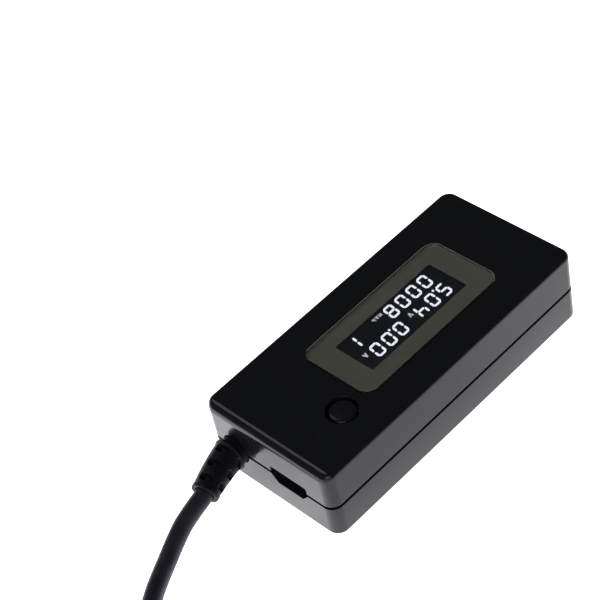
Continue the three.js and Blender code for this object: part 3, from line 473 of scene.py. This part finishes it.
def turned(name, profile, x=0, y=0, segments=96):
    """A profile of (radius, height) points turned about the Z axis, closed at its two poles."""
    build = bmesh.new()
    rows = []
    for radius, z in profile:
        if radius == 0:
            rows.append([build.verts.new((x, y, z))])
            continue
        angles = [2 * pi * i / segments for i in range(segments)]
        rows.append([build.verts.new((x + radius * cos(a), y + radius * sin(a), z)) for a in angles])
    return skinned(name, build, rows)


def drum(name, radius, x, y, z0, z1, segments=64):
    return turned(name, ((0, z0), (radius, z0), (radius, z1), (0, z1)), x, y, segments)


def applied(piece):
    """Puts the result of a piece's modifiers into its mesh."""
    graph = bpy.context.evaluated_depsgraph_get()
    data = bpy.data.meshes.new_from_object(piece.evaluated_get(graph))
    piece.modifiers.clear()
    old, piece.data = piece.data, data
    bpy.data.meshes.remove(old)
    return piece


def combined(piece, operation, others):
    """Cuts the other solids out of a piece, joins them on, or keeps what they share."""
    for other in others:
        modifier = piece.modifiers.new("solid", "BOOLEAN")
        modifier.solver = "EXACT"
        modifier.operation = operation
        modifier.object = other
    applied(piece)
    for other in others:
        data = other.data
        bpy.data.objects.remove(other)
        bpy.data.meshes.remove(data)
    return piece


def cut(piece, *others):
    return combined(piece, "DIFFERENCE", others)


def join(piece, *others):
    return combined(piece, "UNION", others)


def overlap(piece, *others):
    return combined(piece, "INTERSECT", others)


def smooth(piece, angle=32):
    """Smooth shading, kept crisp where faces meet at more than the angle."""
    piece.data.shade_smooth()
    piece.data.set_sharp_from_angle(angle=radians(angle))
    return piece


def softened(piece, width, chosen, segments=3):
    """Rounds the sharp edges whose two ends both pass the chosen test, then smooths the shading."""
    data = piece.data
    build = bmesh.new()
    build.from_mesh(data)
    weight = build.edges.layers.float.new("bevel_weight_edge")
    for edge in build.edges:
        sharp = len(edge.link_faces) == 2 and edge.calc_face_angle(0) > radians(35)
        if sharp and all(chosen(vertex.co / MM) for vertex in edge.verts):
            edge[weight] = 1.0
    build.to_mesh(data)
    build.free()
    modifier = piece.modifiers.new("edges", "BEVEL")
    modifier.limit_method = "WEIGHT"
    modifier.width = width * MM
    modifier.segments = segments
    modifier.use_clamp_overlap = False
    applied(piece)
    smooth(piece)
    modifier = piece.modifiers.new("shading", "WEIGHTED_NORMAL")
    modifier.keep_sharp = True
    return applied(piece)


def finished(piece, body, look, *replaced, slot=None):
    """Gives a piece its material, body and the frame solids that it stands for; its slot argument is not
    used.
    """
    piece.data.materials.clear()
    piece.data.materials.append(LOOKS[look])
    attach(piece, body)
    if replaced:
        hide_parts(*replaced)
    return piece


def smooth_line(route, steps):
    """Points on a smooth curve through the route's points."""
    points = [Vector(p) for p in route]
    points = [2 * points[0] - points[1], *points, 2 * points[-1] - points[-2]]
    line = []
    for i in range(1, len(points) - 2):
        a, b, c, d = points[i - 1:i + 3]
        before, span, after = (sqrt((q - p).length) for p, q in ((a, b), (b, c), (c, d)))
        leave = ((b - a) / before - (c - a) / (before + span) + (c - b) / span) * span
        arrive = ((c - b) / span - (d - b) / (span + after) + (d - c) / after) * span
        for k in range(steps):
            t = k / steps
            line.append(b + leave * t + (3 * (c - b) - 2 * leave - arrive) * t ** 2
                        + (2 * (b - c) + leave + arrive) * t ** 3)
    line.append(points[-2].copy())
    return line


# ---------------------------------------------------------------- cord and sleeve


def cord_jacket():
    data = bpy.data.curves.new("cord_jacket", "CURVE")
    data.dimensions = "3D"
    data.bevel_depth = CORD_RADIUS * MM
    data.bevel_resolution = 12
    data.use_fill_caps = True
    line = smooth_line(CORD_ROUTE, 8)
    spline = data.splines.new("POLY")
    spline.points.add(len(line) - 1)
    for point, place in zip(spline.points, line):
        point.co = (*(place * MM), 1)
    spline.use_smooth = True
    return finished(scene_object("cord_jacket", data), "housing", "cord_black", "cable_jacket")


def sleeve_profile(length):
    """(distance along the axis, radius) of the sleeve, from inside the case to the bore in its tip."""
    neck, root, tip, flange = (RELIEF[k] for k in ("neck", "root", "tip", "flange"))
    start, end = RELIEF["flange_start"], RELIEF["flange_end"]
    edge, mouth, lead, bore, depth = (RELIEF_TIP[k] for k in ("edge", "mouth", "lead", "bore", "bore_depth"))
    body = end + 0.15
    profile = [*RELIEF_ANCHOR, (RELIEF_ANCHOR[-1][0], neck), (start, neck),
               (start, flange - 0.15), (start + 0.05, flange - 0.05), (start + 0.14, flange),
               (end - 0.14, flange), (end - 0.05, flange - 0.05), (end, flange - 0.15),
               (end, root + 0.08), (body, root)]
    steps = 110
    for i in range(1, steps + 1):
        t = i / steps
        collar = RELIEF["collar"] * max(0, min(1, (t - 0.9) / 0.03))
        profile.append((body + (length - body - edge) * t, root + (tip - root) * t + collar))
    last, rim = profile[-1]
    for i in range(1, 6):
        angle = radians(18 * i)
        profile.append((last + edge * sin(angle), rim - edge * (1 - cos(angle))))
    profile += [(length, mouth), (length - 0.06, lead), (length - edge, bore), (length - depth, bore),
                (length - depth, 0)]
    return profile


def pocket_depth(angle, along):
    """How deep the oval pockets scoop into the sleeve at a place on it."""
    depth = 0
    for row in range(4):
        turn = (angle - pi / 2 - row * pi / 2 + pi) % (2 * pi) - pi
        for i in range(POCKETS["count"]):
            across = turn * 2.7 / POCKETS["half"]
            length = (along - POCKETS["first"] - i * POCKETS["pitch"]) / POCKETS["radius"]
            reach = (abs(across) ** 2.6 + abs(length) ** 2.6) ** (1 / 2.6)
            if reach < 1:
                edge = min(1, (1 - reach) / 0.3)
                depth = POCKETS["depth"] * edge * edge * (3 - 2 * edge)
    return depth


def sleeve_ring(middle, forward, along, radius, sides=128):
    """One ring of the sleeve's points round its axis, with the pockets scooped in."""
    sideways = Vector((0, 0, 1)).cross(forward).normalized()
    top = forward.cross(sideways)
    pocketed = along > RELIEF["flange_end"] + 0.1 and radius > 2
    points = []
    for k in range(sides):
        angle = 2 * pi * k / sides
        scoop = pocket_depth(angle, along) if pocketed else 0
        spoke = sideways * cos(angle) + top * sin(angle)
        points.append(middle + spoke * (radius - scoop))
    return points


def cord_sleeve():
    """The strain relief: a turned sleeve with scooped pockets, bent along its axis."""
    line = smooth_line(RELIEF_AXIS, 24)
    reach = [0]
    for a, b in zip(line, line[1:]):
        reach.append(reach[-1] + (b - a).length)
    length = reach[-1]
    build = bmesh.new()
    rows = []
    for along, radius in sleeve_profile(length):
        inside = min(max(along, 0), length)
        i = max(k for k in range(len(line) - 1) if reach[k] <= inside)
        forward = (line[i + 1] - line[i]).normalized()
        middle = line[i] + forward * (along - reach[i])
        points = sleeve_ring(middle, forward, along, radius) if radius else [middle]
        rows.append([build.verts.new(point) for point in points])
    piece = smooth(skinned("cord_sleeve", build, rows), 50)
    return finished(piece, "housing", "sleeve_black", "strain_relief", slot="cord_black")


# ---------------------------------------------------------------- plug


def placed_plug(piece):
    """Moves a piece built along +X from the back of the plug's neck to where the plug lies."""
    piece.data.transform(Matrix.Translation(Vector(PLUG_START) * MM) @ Matrix.Rotation(PLUG_HEADING, 4, "Z"))
    return piece


def plug_neck():
    """The ribbed neck behind the grip, bored for the cord."""
    profile = [(0, 1.6), (1.72, 1.6), (1.72, 0.1), (1.8, 0), (2.0, 0), (2.2, 0.08), (2.3, 0.3)]
    for i in range(25):
        x = 0.8 + 5.2 * i / 24
        ring = max(0, sin((x - 0.8) / 5.2 * 3 * 2 * pi - pi / 2)) ** 0.5
        profile.append((2.33 + 0.09 * x - 0.28 * ring, x))
    profile += [(3.0, 7.6), (3.0, 8.4), (0, 8.4)]
    neck = turned("neck", profile)
    neck.data.transform(Matrix.Rotation(pi / 2, 4, "Y"))
    return neck


def plug_body():
    """The moulded grip with its neck, side grooves and a shallow oval recess on each face."""
    back, length, width, thickness = (GRIP[k] for k in ("back", "length", "width", "thickness"))
    body = pillow("plug_body", length, width, GRIP["corner"], GRIP["edge"], -thickness / 2, thickness / 2,
                  back + length / 2, 0)
    join(body, plug_neck())
    cutters = [block("pocket", back + length - 5.8, back + length + 1, -6.3, 6.3, -2.55, 2.55)]
    for side in (-1, 1):
        for i in range(4):
            x = back + 7 + 2.2 * i
            cutters.append(drum("groove", 0.62, x, side * (width / 2 + 0.27), -thickness, thickness, 32))
        cutters.append(prism("badge", rounded_plan(9.6, 6.4, 3.1, back + 8.4, 0),
                             *sorted((side * (thickness / 2 - 0.18), side * (thickness / 2 + 1)))))
    cut(body, *cutters)
    softened(body, 0.1, lambda p: p.x > back - 1, segments=2)
    return finished(placed_plug(body), "housing", "cord_black", "plug_grip")


CORD = cord_jacket()
SLEEVE = cord_sleeve()
PLUG = plug_body()

# ---------------------------------------------------------------- case


def inset_prism(name, distance, z0, z1):
    """A prism that follows the case's plan, set in by a distance all round."""
    length, width = CASE["length"] - 2 * distance, CASE["width"] - 2 * distance
    return prism(name, rounded_plan(length, width, CASE["corner"] - distance), z0, z1)


def upper_edge(angle):
    """The radius of the top's rounded edge where the wall faces along a plan angle."""
    towards_cord = max(0, -cos(angle))
    return CASE_EDGE["upper"] + (CASE_EDGE["corded_end"] - CASE_EDGE["upper"]) * towards_cord ** 2


def plan_ring(edge_at, lean, level_at, segments=16):
    """Points round the case at one level of a rounded edge; lean is 0 on the flat and 1 on the wall."""
    points = []
    middle = (CASE["length"] / 2 - CASE["corner"], CASE["width"] / 2 - CASE["corner"])
    for quarter, side_x, side_y in ((-1, 1, -1), (0, 1, 1), (1, -1, 1), (2, -1, -1)):
        for i in range(segments + 1):
            angle = (quarter + i / segments) * pi / 2
            edge = edge_at(angle)
            reach = CASE["corner"] - edge * (1 - sin(lean * pi / 2))
            drop = edge * (1 - cos(lean * pi / 2))
            points.append((side_x * middle[0] + reach * cos(angle), side_y * middle[1] + reach * sin(angle),
                           level_at(drop)))
    return points


def case_block(name, steps=10):
    """The whole case as one solid, with its rounded edges."""
    leans = [i / steps for i in range(steps + 1)]
    rings = [plan_ring(lambda angle: CASE_EDGE["lower"], lean, lambda drop: drop) for lean in leans]
    rings += [plan_ring(upper_edge, lean, lambda drop: CASE["height"] - drop) for lean in reversed(leans)]
    return lofted(name, rings)


def end_openings():
    """The micro slot and cord hole in one end wall, and the output opening in the other."""
    end, inside = CASE["length"] / 2 + 1, CASE["length"] / 2 - 2.6
    corner = SLOT["corner"]
    right = [(SLOT["half_bottom"], SLOT["bottom"]), (SLOT["half_top"], SLOT["shoulder"])]
    for i in range(7):
        angle = radians(15 * i)
        right.append((SLOT["half_top"] - corner * (1 - cos(angle)), SLOT["top"] - corner * (1 - sin(angle))))
    slot = [(SLOT["y"] + y, z) for y, z in right] + [(SLOT["y"] - y, z) for y, z in reversed(right)]
    around = [2 * pi * i / 64 for i in range(64)]
    hole = [(EXIT["y"] + EXIT["hole"] * cos(a), EXIT["z"] + EXIT["hole"] * sin(a)) for a in around]
    height = OUTPUT["top"] - OUTPUT["bottom"]
    output = rounded_plan(OUTPUT["width"], height, OUTPUT["corner"], 0, OUTPUT["bottom"] + height / 2, 6)
    return [
        prism_x("slot", slot, -end, -inside), prism_x("hole", hole, -end, -inside),
        prism_x("output", output, inside, end),
    ]


def catches(gap):
    """The four ridges on the lip, or the wider pockets that they snap into."""
    face = INNER_WIDTH / 2 + LIP_THICKNESS
    pieces = []
    for side in (-1, 1):
        low, high = sorted((side * (face - 0.3), side * (face + CATCH["depth"] + gap)))
        for x in (-CATCH["spacing"] / 2, CATCH["spacing"] / 2):
            half, tall = CATCH["length"] / 2 + gap, CATCH["height"] / 2 + gap
            pieces.append(block("catch", x - half, x + half, low, high, CATCH["z"] - tall, CATCH["z"] + tall))
    return pieces


def on_outside(point):
    """True for a point of a cover that shows from outside the case."""
    wide = abs(point.x) > CASE["length"] / 2 - 0.02 or abs(point.y) > CASE["width"] / 2 - 0.02
    over_x = abs(point.x) - CASE["length"] / 2 + CASE["corner"]
    over_y = abs(point.y) - CASE["width"] / 2 + CASE["corner"]
    on_corner = min(over_x, over_y) > 0 and hypot(over_x, over_y) > CASE["corner"] - 0.02
    return point.z > CASE["height"] - 0.02 or wide or on_corner


def upper_case():
    """The upper cover with its openings, the rib round the glass and the button's guide."""
    cover = overlap(case_block("upper_case"), inset_prism("above", -1, SEAM_HIGH, CASE["height"] + 1))
    cut(cover, inset_prism("hollow", CASE["wall"], SEAM_HIGH - 1, CEILING))
    x, y = GLASS["x"], GLASS["y"]
    half_x, half_y = GLASS["length"] / 2 + RIB["gap"], GLASS["width"] / 2 + RIB["gap"]
    thick = RIB["thickness"]
    rib = cut(
        block("rib", x - half_x - thick, x + half_x + thick, y - half_y - thick, y + half_y + thick,
              RIB["bottom"], CEILING + 0.5),
        block("inside", x - half_x, x + half_x, y - half_y, y + half_y, RIB["bottom"] - 1, CEILING + 1))
    guide = drum("guide", BUTTON_GUIDE["outer"], BUTTON["x"], BUTTON["y"],
                 BUTTON_GUIDE["bottom"], CEILING + 0.5)
    join(cover, rib, guide)
    seat = rounded_plan(WINDOW["length"] + 2 * WINDOW["gap"], WINDOW["width"] + 2 * WINDOW["gap"],
                        WINDOW["corner"] + WINDOW["gap"], WINDOW["x"], WINDOW["y"])
    view = rounded_plan(VIEW["length"], VIEW["width"], VIEW["corner"], VIEW["x"], VIEW["y"], 8)
    cut(
        cover,
        prism("seat", seat, WINDOW["top"] - WINDOW["thickness"] - 0.05, CASE["height"] + 1),
        prism("view", view, CEILING - 1, CASE["height"]),
        inset_prism("lip", CASE["wall"] - LIP_THICKNESS - LIP_GAP, SEAM_HIGH - 1, LIP_TOP + LIP_GAP),
        drum("bore", BUTTON_GUIDE["inner"], BUTTON["x"], BUTTON["y"], BUTTON_GUIDE["bottom"] - 1, CEILING),
        drum("hole", BUTTON["hole"], BUTTON["x"], BUTTON["y"], CEILING - 1, CASE["height"] + 1, 96),
        *catches(CATCH["gap"]), *end_openings())
    softened(cover, EDGE_WEAR, on_outside)
    return finished(cover, "housing", "case_black", "top_cover")


def lower_case():
    """The lower cover with its lip, board supports and openings."""
    cover = overlap(case_block("lower_case"), inset_prism("below", -1, -1, SEAM_LOW))
    join(cover, inset_prism("lip", CASE["wall"] - LIP_THICKNESS, SEAM_LOW - 1, LIP_TOP))
    cut(cover, inset_prism("hollow", CASE["wall"], CASE["top"], LIP_TOP + 1))
    supports = [drum("boss", 2.3, x, y, CASE["top"] - 0.5, BOARD_UNDER) for x, y in SCREWS]
    for side in (-1, 1):
        low, high = sorted((side * (INNER_WIDTH / 2 + 0.3), side * (INNER_WIDTH / 2 - 1.4)))
        for x in (-20, 20):
            supports.append(block("rest", x - 3, x + 3, low, high, CASE["top"] - 0.5, BOARD_UNDER))
    join(cover, *supports, *catches(0))
    holes = [drum("screw_hole", 0.95, x, y, CASE["top"], BOARD_UNDER + 1, 32) for x, y in SCREWS]
    cut(cover, *holes, *end_openings())
    softened(cover, EDGE_WEAR, on_outside)
    return finished(cover, "housing", "case_black", "bottom_cover")


upper_case()
lower_case()

# ---------------------------------------------------------------- window and display


def window_plate():
    """The clear plate: straight sides and a small rounded upper edge."""
    top, thickness, bevel = (WINDOW[k] for k in ("top", "thickness", "bevel"))
    edges = [(0.05, top - thickness), (0, top - thickness + 0.05)]
    for turn in (0, 22.5, 45, 67.5, 90):
        edges.append((bevel * (1 - cos(radians(turn))), top - bevel + bevel * sin(radians(turn))))
    rings = []
    for shrink, z in edges:
        plan = rounded_plan(WINDOW["length"] - 2 * shrink, WINDOW["width"] - 2 * shrink,
                            WINDOW["corner"] - shrink, WINDOW["x"], WINDOW["y"])
        rings.append([(x, y, z) for x, y in plan])
    piece = smooth(lofted("window_plate", rings), 25)
    return finished(piece, "housing", "window_clear", "display_window")


def window_border():
    """The printed layer on the plate's underside, open over the display."""
    high = WINDOW["top"] - WINDOW["thickness"] - 0.004
    low = high - PRINT["thickness"]
    margin = PRINT["margin"]
    outline = rounded_plan(WINDOW["length"] - 2 * margin, WINDOW["width"] - 2 * margin,
                           WINDOW["corner"] - margin, WINDOW["x"], WINDOW["y"])
    border = prism("window_border", outline, low, high)
    opening = rounded_plan(PRINT["length"], PRINT["width"], PRINT["corner"], PRINT["x"], PRINT["y"], 6)
    cut(border, prism("opening", opening, low - 1, high + 1))
    return finished(border, "housing", "window_print", "display_window", slot="polariser_dark")


def window_highlight_rim():
    """A painted highlight: the pale bead in the gap round the plate, higher along the +X and +Y edges, stands
    for the light that those far edges catch.
    """
    low, high = WINDOW["top"] - WINDOW["thickness"], CASE["height"] - HIGHLIGHT_BEAD["below"]
    plans = [rounded_plan(WINDOW["length"] + 2 * out, WINDOW["width"] + 2 * out, WINDOW["corner"] + out,
                          WINDOW["x"], WINDOW["y"]) for out in (HIGHLIGHT_BEAD["inner"], HIGHLIGHT_BEAD["outer"])]
    rim = cut(prism("window_highlight_rim", plans[1], low, high), prism("inside", plans[0], low - 1, high + 1))
    west, east = WINDOW["x"] - WINDOW["length"] / 2 - 1, WINDOW["x"] + WINDOW["length"] / 2 + 1
    south, north = WINDOW["y"] - WINDOW["width"] / 2 - 1, WINDOW["y"] + WINDOW["width"] / 2 + 1
    near_half = [(west, south), (east, south), (west, north)]
    # The near sides are cut low, so the painted highlight stands up only along the far +X and +Y edges.
    cut(rim, prism("low_sides", near_half, high - HIGHLIGHT_BEAD["step"], high + 1))
    return finished(smooth(rim, 25), "housing", "window_edge_highlight", "display_window", slot="polariser_dark")


SEGMENTS = {"0": "abcdef", "1": "bc", "4": "bcfg", "5": "acdfg", "8": "abcdefg"}
DIGITS = (
    ("0", 11.88, 2.9), ("0", 9.0, 2.9), ("0", 6.15, 2.9), ("8", 3.28, 2.9), ("1", -4.6, 2.9),
    ("5", 12.38, -1.08), ("0", 9.39, -1.08), ("4", 6.5, -1.08),
    ("0", 1.2, -1.08), ("0", -1.73, -1.08), ("0", -4.6, -1.08),
)
SLANT = 0.1
POINTS = ((11.05, 0.28), (-0.22, 0.28))
LETTERS = {
    "V": (((0, 1), (0.5, 0), (1, 1)),),
    "A": (((0, 0), (0.5, 1), (1, 0)), ((0.2, 0.35), (0.8, 0.35))),
    "m": (((0, 0), (0, 1), (0.5, 0.4), (1, 1), (1, 0)),),
    "h": (((0.1, 0), (0.1, 1)), ((0.1, 0.55), (0.9, 0.55), (0.9, 0))),
}
UNITS = (("V", 4.55, -0.3, 0.85), ("A", -6.85, -0.35, 0.85), ("m", 1.5, 3.95, 0.6), ("A", 0.7, 3.95, 0.6),
         ("h", -0.1, 3.95, 0.6))


def segment_outlines(names):
    """The lit bars of one seven-segment digit, about its middle, with +v towards its top."""
    w, h, t, gap, chamfer, waist = 1.0, 1.53, 0.42, 0.03, 0.42, 0.13
    cap = [
        (-w + chamfer, h), (w - chamfer, h), (w - (chamfer + gap) / 2, h - (chamfer - gap) / 2),
        (w - t - gap, h - t), (-w + t + gap, h - t), (-w + (chamfer + gap) / 2, h - (chamfer - gap) / 2),
    ]
    side = [
        (-w, h - chamfer), (-w + (chamfer - gap) / 2, h - (chamfer + gap) / 2), (-w + t, h - t - gap),
        (-w + t, t / 2 + waist), (-w + t / 2, waist), (-w, waist + 0.06),
    ]
    middle = [
        (-w + t / 2 + gap, 0), (-w + t + gap, t / 2), (w - t - gap, t / 2), (w - t / 2 - gap, 0),
        (w - t - gap, -t / 2), (-w + t + gap, -t / 2),
    ]
    shapes = {
        "a": cap, "d": [(u, -v) for u, v in cap], "g": middle, "f": side,
        "b": [(-u, v) for u, v in side], "e": [(u, -v) for u, v in side], "c": [(-u, -v) for u, v in side],
    }
    return [shapes[name] for name in names]


def stroke_outlines(letter, size):
    """The strokes of a small unit letter as quads about its middle."""
    thickness = 0.32 * size
    quads = []
    for line in LETTERS[letter]:
        for a, b in zip(line, line[1:]):
            a, b = (Vector(((p[0] - 0.5) * size * 0.7, (p[1] - 0.5) * size)) for p in (a, b))
            across = (b - a).orthogonal().normalized() * thickness / 2
            along = (b - a).normalized() * thickness * 0.3
            quads.append([a - across - along, b - across + along, b + across + along, a + across - along])
    return quads


def raised_marks(name, look, outlines):
    """Thin solid marks that lie on the display's front film."""
    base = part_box("front_polariser")[1].z / MM
    build = bmesh.new()
    for outline in outlines:
        area = sum(a[0] * b[1] - b[0] * a[1] for a, b in zip(outline, outline[1:] + outline[:1]))
        plan = outline if area > 0 else outline[::-1]
        low = [build.verts.new((x, y, base + 0.004)) for x, y in plan]
        high = [build.verts.new((x, y, base + 0.034)) for x, y in plan]
        build.faces.new(low[::-1])
        build.faces.new(high)
        for i in range(len(plan)):
            after = (i + 1) % len(plan)
            build.faces.new((low[i], low[after], high[after], high[i]))
    return finished(mesh_object(name, build), "housing", look, slot="backlight_white")


def display_segments():
    """The lit digits and decimal points, which read from +X to -X with their tops towards -Y."""
    outlines = []
    for digit, x, y in DIGITS:
        for shape in segment_outlines(SEGMENTS[digit]):
            outlines.append([(x - u - SLANT * v, y - v) for u, v in shape])
    point = ((-0.18, -0.22), (0.18, -0.22), (0.18, 0.22), (-0.18, 0.22))
    for x, y in POINTS:
        outlines.append([(x - u - SLANT * v, y - v) for u, v in point])
    return raised_marks("display_segments", "lit_segments", outlines)


def display_units():
    """The small, dimmer unit letters beside the digits."""
    outlines = []
    for letter, x, y, size in UNITS:
        outlines += [[(x - u, y - v) for u, v in quad] for quad in stroke_outlines(letter, size)]
    return raised_marks("display_units", "lit_units", outlines)


window_plate()
window_border()
window_highlight_rim()
display_segments()
display_units()

# ---------------------------------------------------------------- push button


def button_top():
    """The round cap: a low dome with a rounded rim, its flange under the cover and its post."""
    radius, top = BUTTON["radius"], BUTTON["top"]
    post, flange = BUTTON["post"], BUTTON["flange"]
    profile = [(0, post), (1.45, post), (1.6, post + 0.15), (1.6, flange), (3.3, flange),
               (3.4, flange + 0.1), (3.4, flange + 0.35), (3.3, flange + 0.45),
               (radius + 0.05, flange + 0.45), (radius, flange + 0.5)]
    rim, dome = BUTTON["edge"], BUTTON["dome"]
    for i in range(13):
        angle = radians(90 * i / 12)
        profile.append((radius - rim * (1 - cos(angle)), top - dome - rim * (1 - sin(angle))))
    crown = radius - rim
    profile += [(crown * (1 - i / 8), top - dome * (1 - i / 8) ** 2) for i in range(1, 9)]
    piece = smooth(turned("button_top", profile, BUTTON["x"], BUTTON["y"]), 30)
    return finished(piece, "button", "button_black", "button_cap")


def snap_dome():
    """The switch's thin steel dome, which the plunger flattens as the button goes down; it is built here at
    rest.
    """
    radius, rise, thickness, bottom = (DOME[k] for k in ("radius", "rise", "thickness", "bottom"))
    angles = [radians(90 * i / 12) for i in range(13)]
    inner = [((radius - thickness) * sin(a), bottom + (rise - thickness) * cos(a)) for a in angles]
    outer = [(radius * cos(a), bottom + rise * sin(a)) for a in angles]
    inner[0], outer[-1] = (0, bottom + rise - thickness), (0, bottom + rise)
    piece = smooth(turned("snap_dome", inner + outer, BUTTON["x"], BUTTON["y"], 64), 30)
    finished(piece, "housing", "steel_bright", "switch_dome")
    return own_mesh(piece)


button_top()
snap_dome()

# ---------------------------------------------------------------- finishes on the frame's own solids

FINISHES = {
    "front_polariser": "polariser_dark", "rear_polariser": "polariser_dark",
    "front_glass": "display_glass", "rear_glass": "display_glass",
    "backlight_panel": "backlight_white", "backlight_lamp": "backlight_white",
    "zebra_strip": "zebra_pink", "main_board": "board_green",
    "controller_chip": "chip_black", "amplifier_chip": "chip_black", "memory_chip": "chip_black",
    "voltage_regulator": "chip_black", "shunt_resistor": "resistor_dark",
    "input_capacitor": "capacitor_tan", "output_capacitor": "capacitor_tan",
    "supply_capacitor": "capacitor_tan", "crystal": "steel_bright", "board_screw": "steel_bright",
    "switch_base": "socket_black", "switch_plate": "steel_bright", "switch_plunger": "button_black",
    "output_socket_shell": "shell_plated", "output_socket_tongue": "socket_white",
    "output_contact": "contact_gold", "micro_socket_shell": "shell_plated",
    "micro_socket_tongue": "socket_black", "micro_contact": "contact_gold",
    "red_wire": "wire_red", "black_wire": "wire_black",
    "green_wire": "wire_green", "white_wire": "wire_white",
    "plug_shell": "shell_plated", "plug_insulator": "socket_white", "plug_contact": "contact_gold",
}
ROUNDED = {
    "output_socket_shell": 0.05, "output_socket_tongue": 0.08, "micro_socket_shell": 0.05,
    "micro_socket_tongue": 0.05, "plug_shell": 0.05, "plug_insulator": 0.1, "output_contact": 0.04,
    "plug_contact": 0.04, "micro_contact": 0.02, "main_board": 0.05, "controller_chip": 0.03,
    "switch_base": 0.06, "switch_plate": 0.03, "backlight_panel": 0.08, "shunt_resistor": 0.04,
}


def dress_frame():
    """Gives each solid of the frame that stays in view its material and small rounded edges."""
    for name, node in NODES.items():
        kind = name if name in FINISHES else name.rsplit("_", 1)[0]
        if kind not in FINISHES:
            continue
        node.data.materials.clear()
        node.data.materials.append(LOOKS[FINISHES[kind]])
        if kind in ROUNDED:
            modifier = node.modifiers.new("edges", "BEVEL")
            modifier.width = ROUNDED[kind] * MM
            modifier.segments = 2
            modifier.angle_limit = radians(40)
            modifier.harden_normals = True


dress_frame()

# ---------------------------------------------------------------- floor, light and view settings

# Glow levels of the table; their spread is painted shade, lower in front of the object (-Y) and towards -X, a
# painted soft shadow.
FLOOR_NEAR, FLOOR_FAR, FLOOR_BEHIND = 0.93, 1.2, 1.27
# A soft painted shadow: a dimmer part of the table round the cord by the corded end, in metres.
CORD_SHADOW_PATCH = dict(at=(-0.0385, 0.005, 0), drop=0.75, reach=(0.004, 0.013))
WORLD_COLOR, WORLD_STRENGTH = (0.86, 0.92, 1, 1), 0.075


def floor():
    """A plain pale table that is lit from below, a little less brightly in front of the object as a painted
    soft shadow, with a painted shadow round the cord too.
    """
    build = bmesh.new()
    corners = [build.verts.new((x * 3000, y * 3000, 0)) for x, y in ((-1, -1), (1, -1), (1, 1), (-1, 1))]
    build.faces.new(corners)
    piece = mesh_object("floor", build)
    look = Look("floor", (0.86, 0.86, 0.86), 0.9, Specular_IOR_Level=0.0)
    look.color(look.noise(60, detail=2), ((0.3, (0.85, 0.85, 0.85)), (0.7, (0.87, 0.87, 0.87))))
    look.put("Emission Color", (0.985, 0.985, 1.045, 1))
    axes = look.tree.nodes.new("ShaderNodeSeparateXYZ")
    look.tree.links.new(look.place, axes.inputs["Vector"])
    # Painted shade: the glow rises from the front to behind the object, and towards +X.
    behind = look.spread(axes.outputs["Y"], 0, FLOOR_BEHIND, -0.020, 0.000)
    along = look.spread(axes.outputs["X"], FLOOR_NEAR, FLOOR_FAR, 0.005, 0.035)
    away = look.tree.nodes.new("ShaderNodeVectorMath")
    away.operation = "DISTANCE"
    away.inputs[1].default_value = CORD_SHADOW_PATCH["at"]
    look.tree.links.new(look.place, away.inputs[0])
    # Painted shadow: the glow drops in a soft patch round the cord.
    dim = look.spread(away.outputs["Value"], -CORD_SHADOW_PATCH["drop"], 0, *CORD_SHADOW_PATCH["reach"])
    glow = behind
    for part in (along, dim):
        total = look.tree.nodes.new("ShaderNodeMath")
        look.tree.links.new(glow, total.inputs[0])
        look.tree.links.new(part, total.inputs[1])
        glow = total.outputs["Value"]
    look.link(glow, "Emission Strength")
    piece.data.materials.append(look.material)


def softbox(name, direction, distance, size, radiance):
    """A rectangular light that faces the object from a direction; sizes are metres."""
    data = bpy.data.lights.new(name, "AREA")
    data.shape = "RECTANGLE"
    data.size, data.size_y = size
    data.energy = radiance * pi * size[0] * size[1]
    lamp = scene_object(name, data)
    towards = Vector(direction).normalized()
    lamp.location = towards * distance
    lamp.rotation_mode = "QUATERNION"
    lamp.rotation_quaternion = towards.to_track_quat("Z", "Y")


def surroundings():
    """A dim, slightly blue world and plain view settings."""
    world = bpy.data.worlds.new("studio")
    world.use_nodes = True
    world.node_tree.nodes["Background"].inputs["Color"].default_value = WORLD_COLOR
    world.node_tree.nodes["Background"].inputs["Strength"].default_value = WORLD_STRENGTH
    bpy.context.scene.world = world
    bpy.context.scene.view_settings.view_transform = "Standard"


floor()
softbox("back_light", (-0.085, 0.57, 0.80), 1.2, (0.42, 0.5), 1.3)
softbox("left_light", (-0.75, -0.40, 0.53), 1.2, (0.8, 0.8), 1.2)
surroundings()
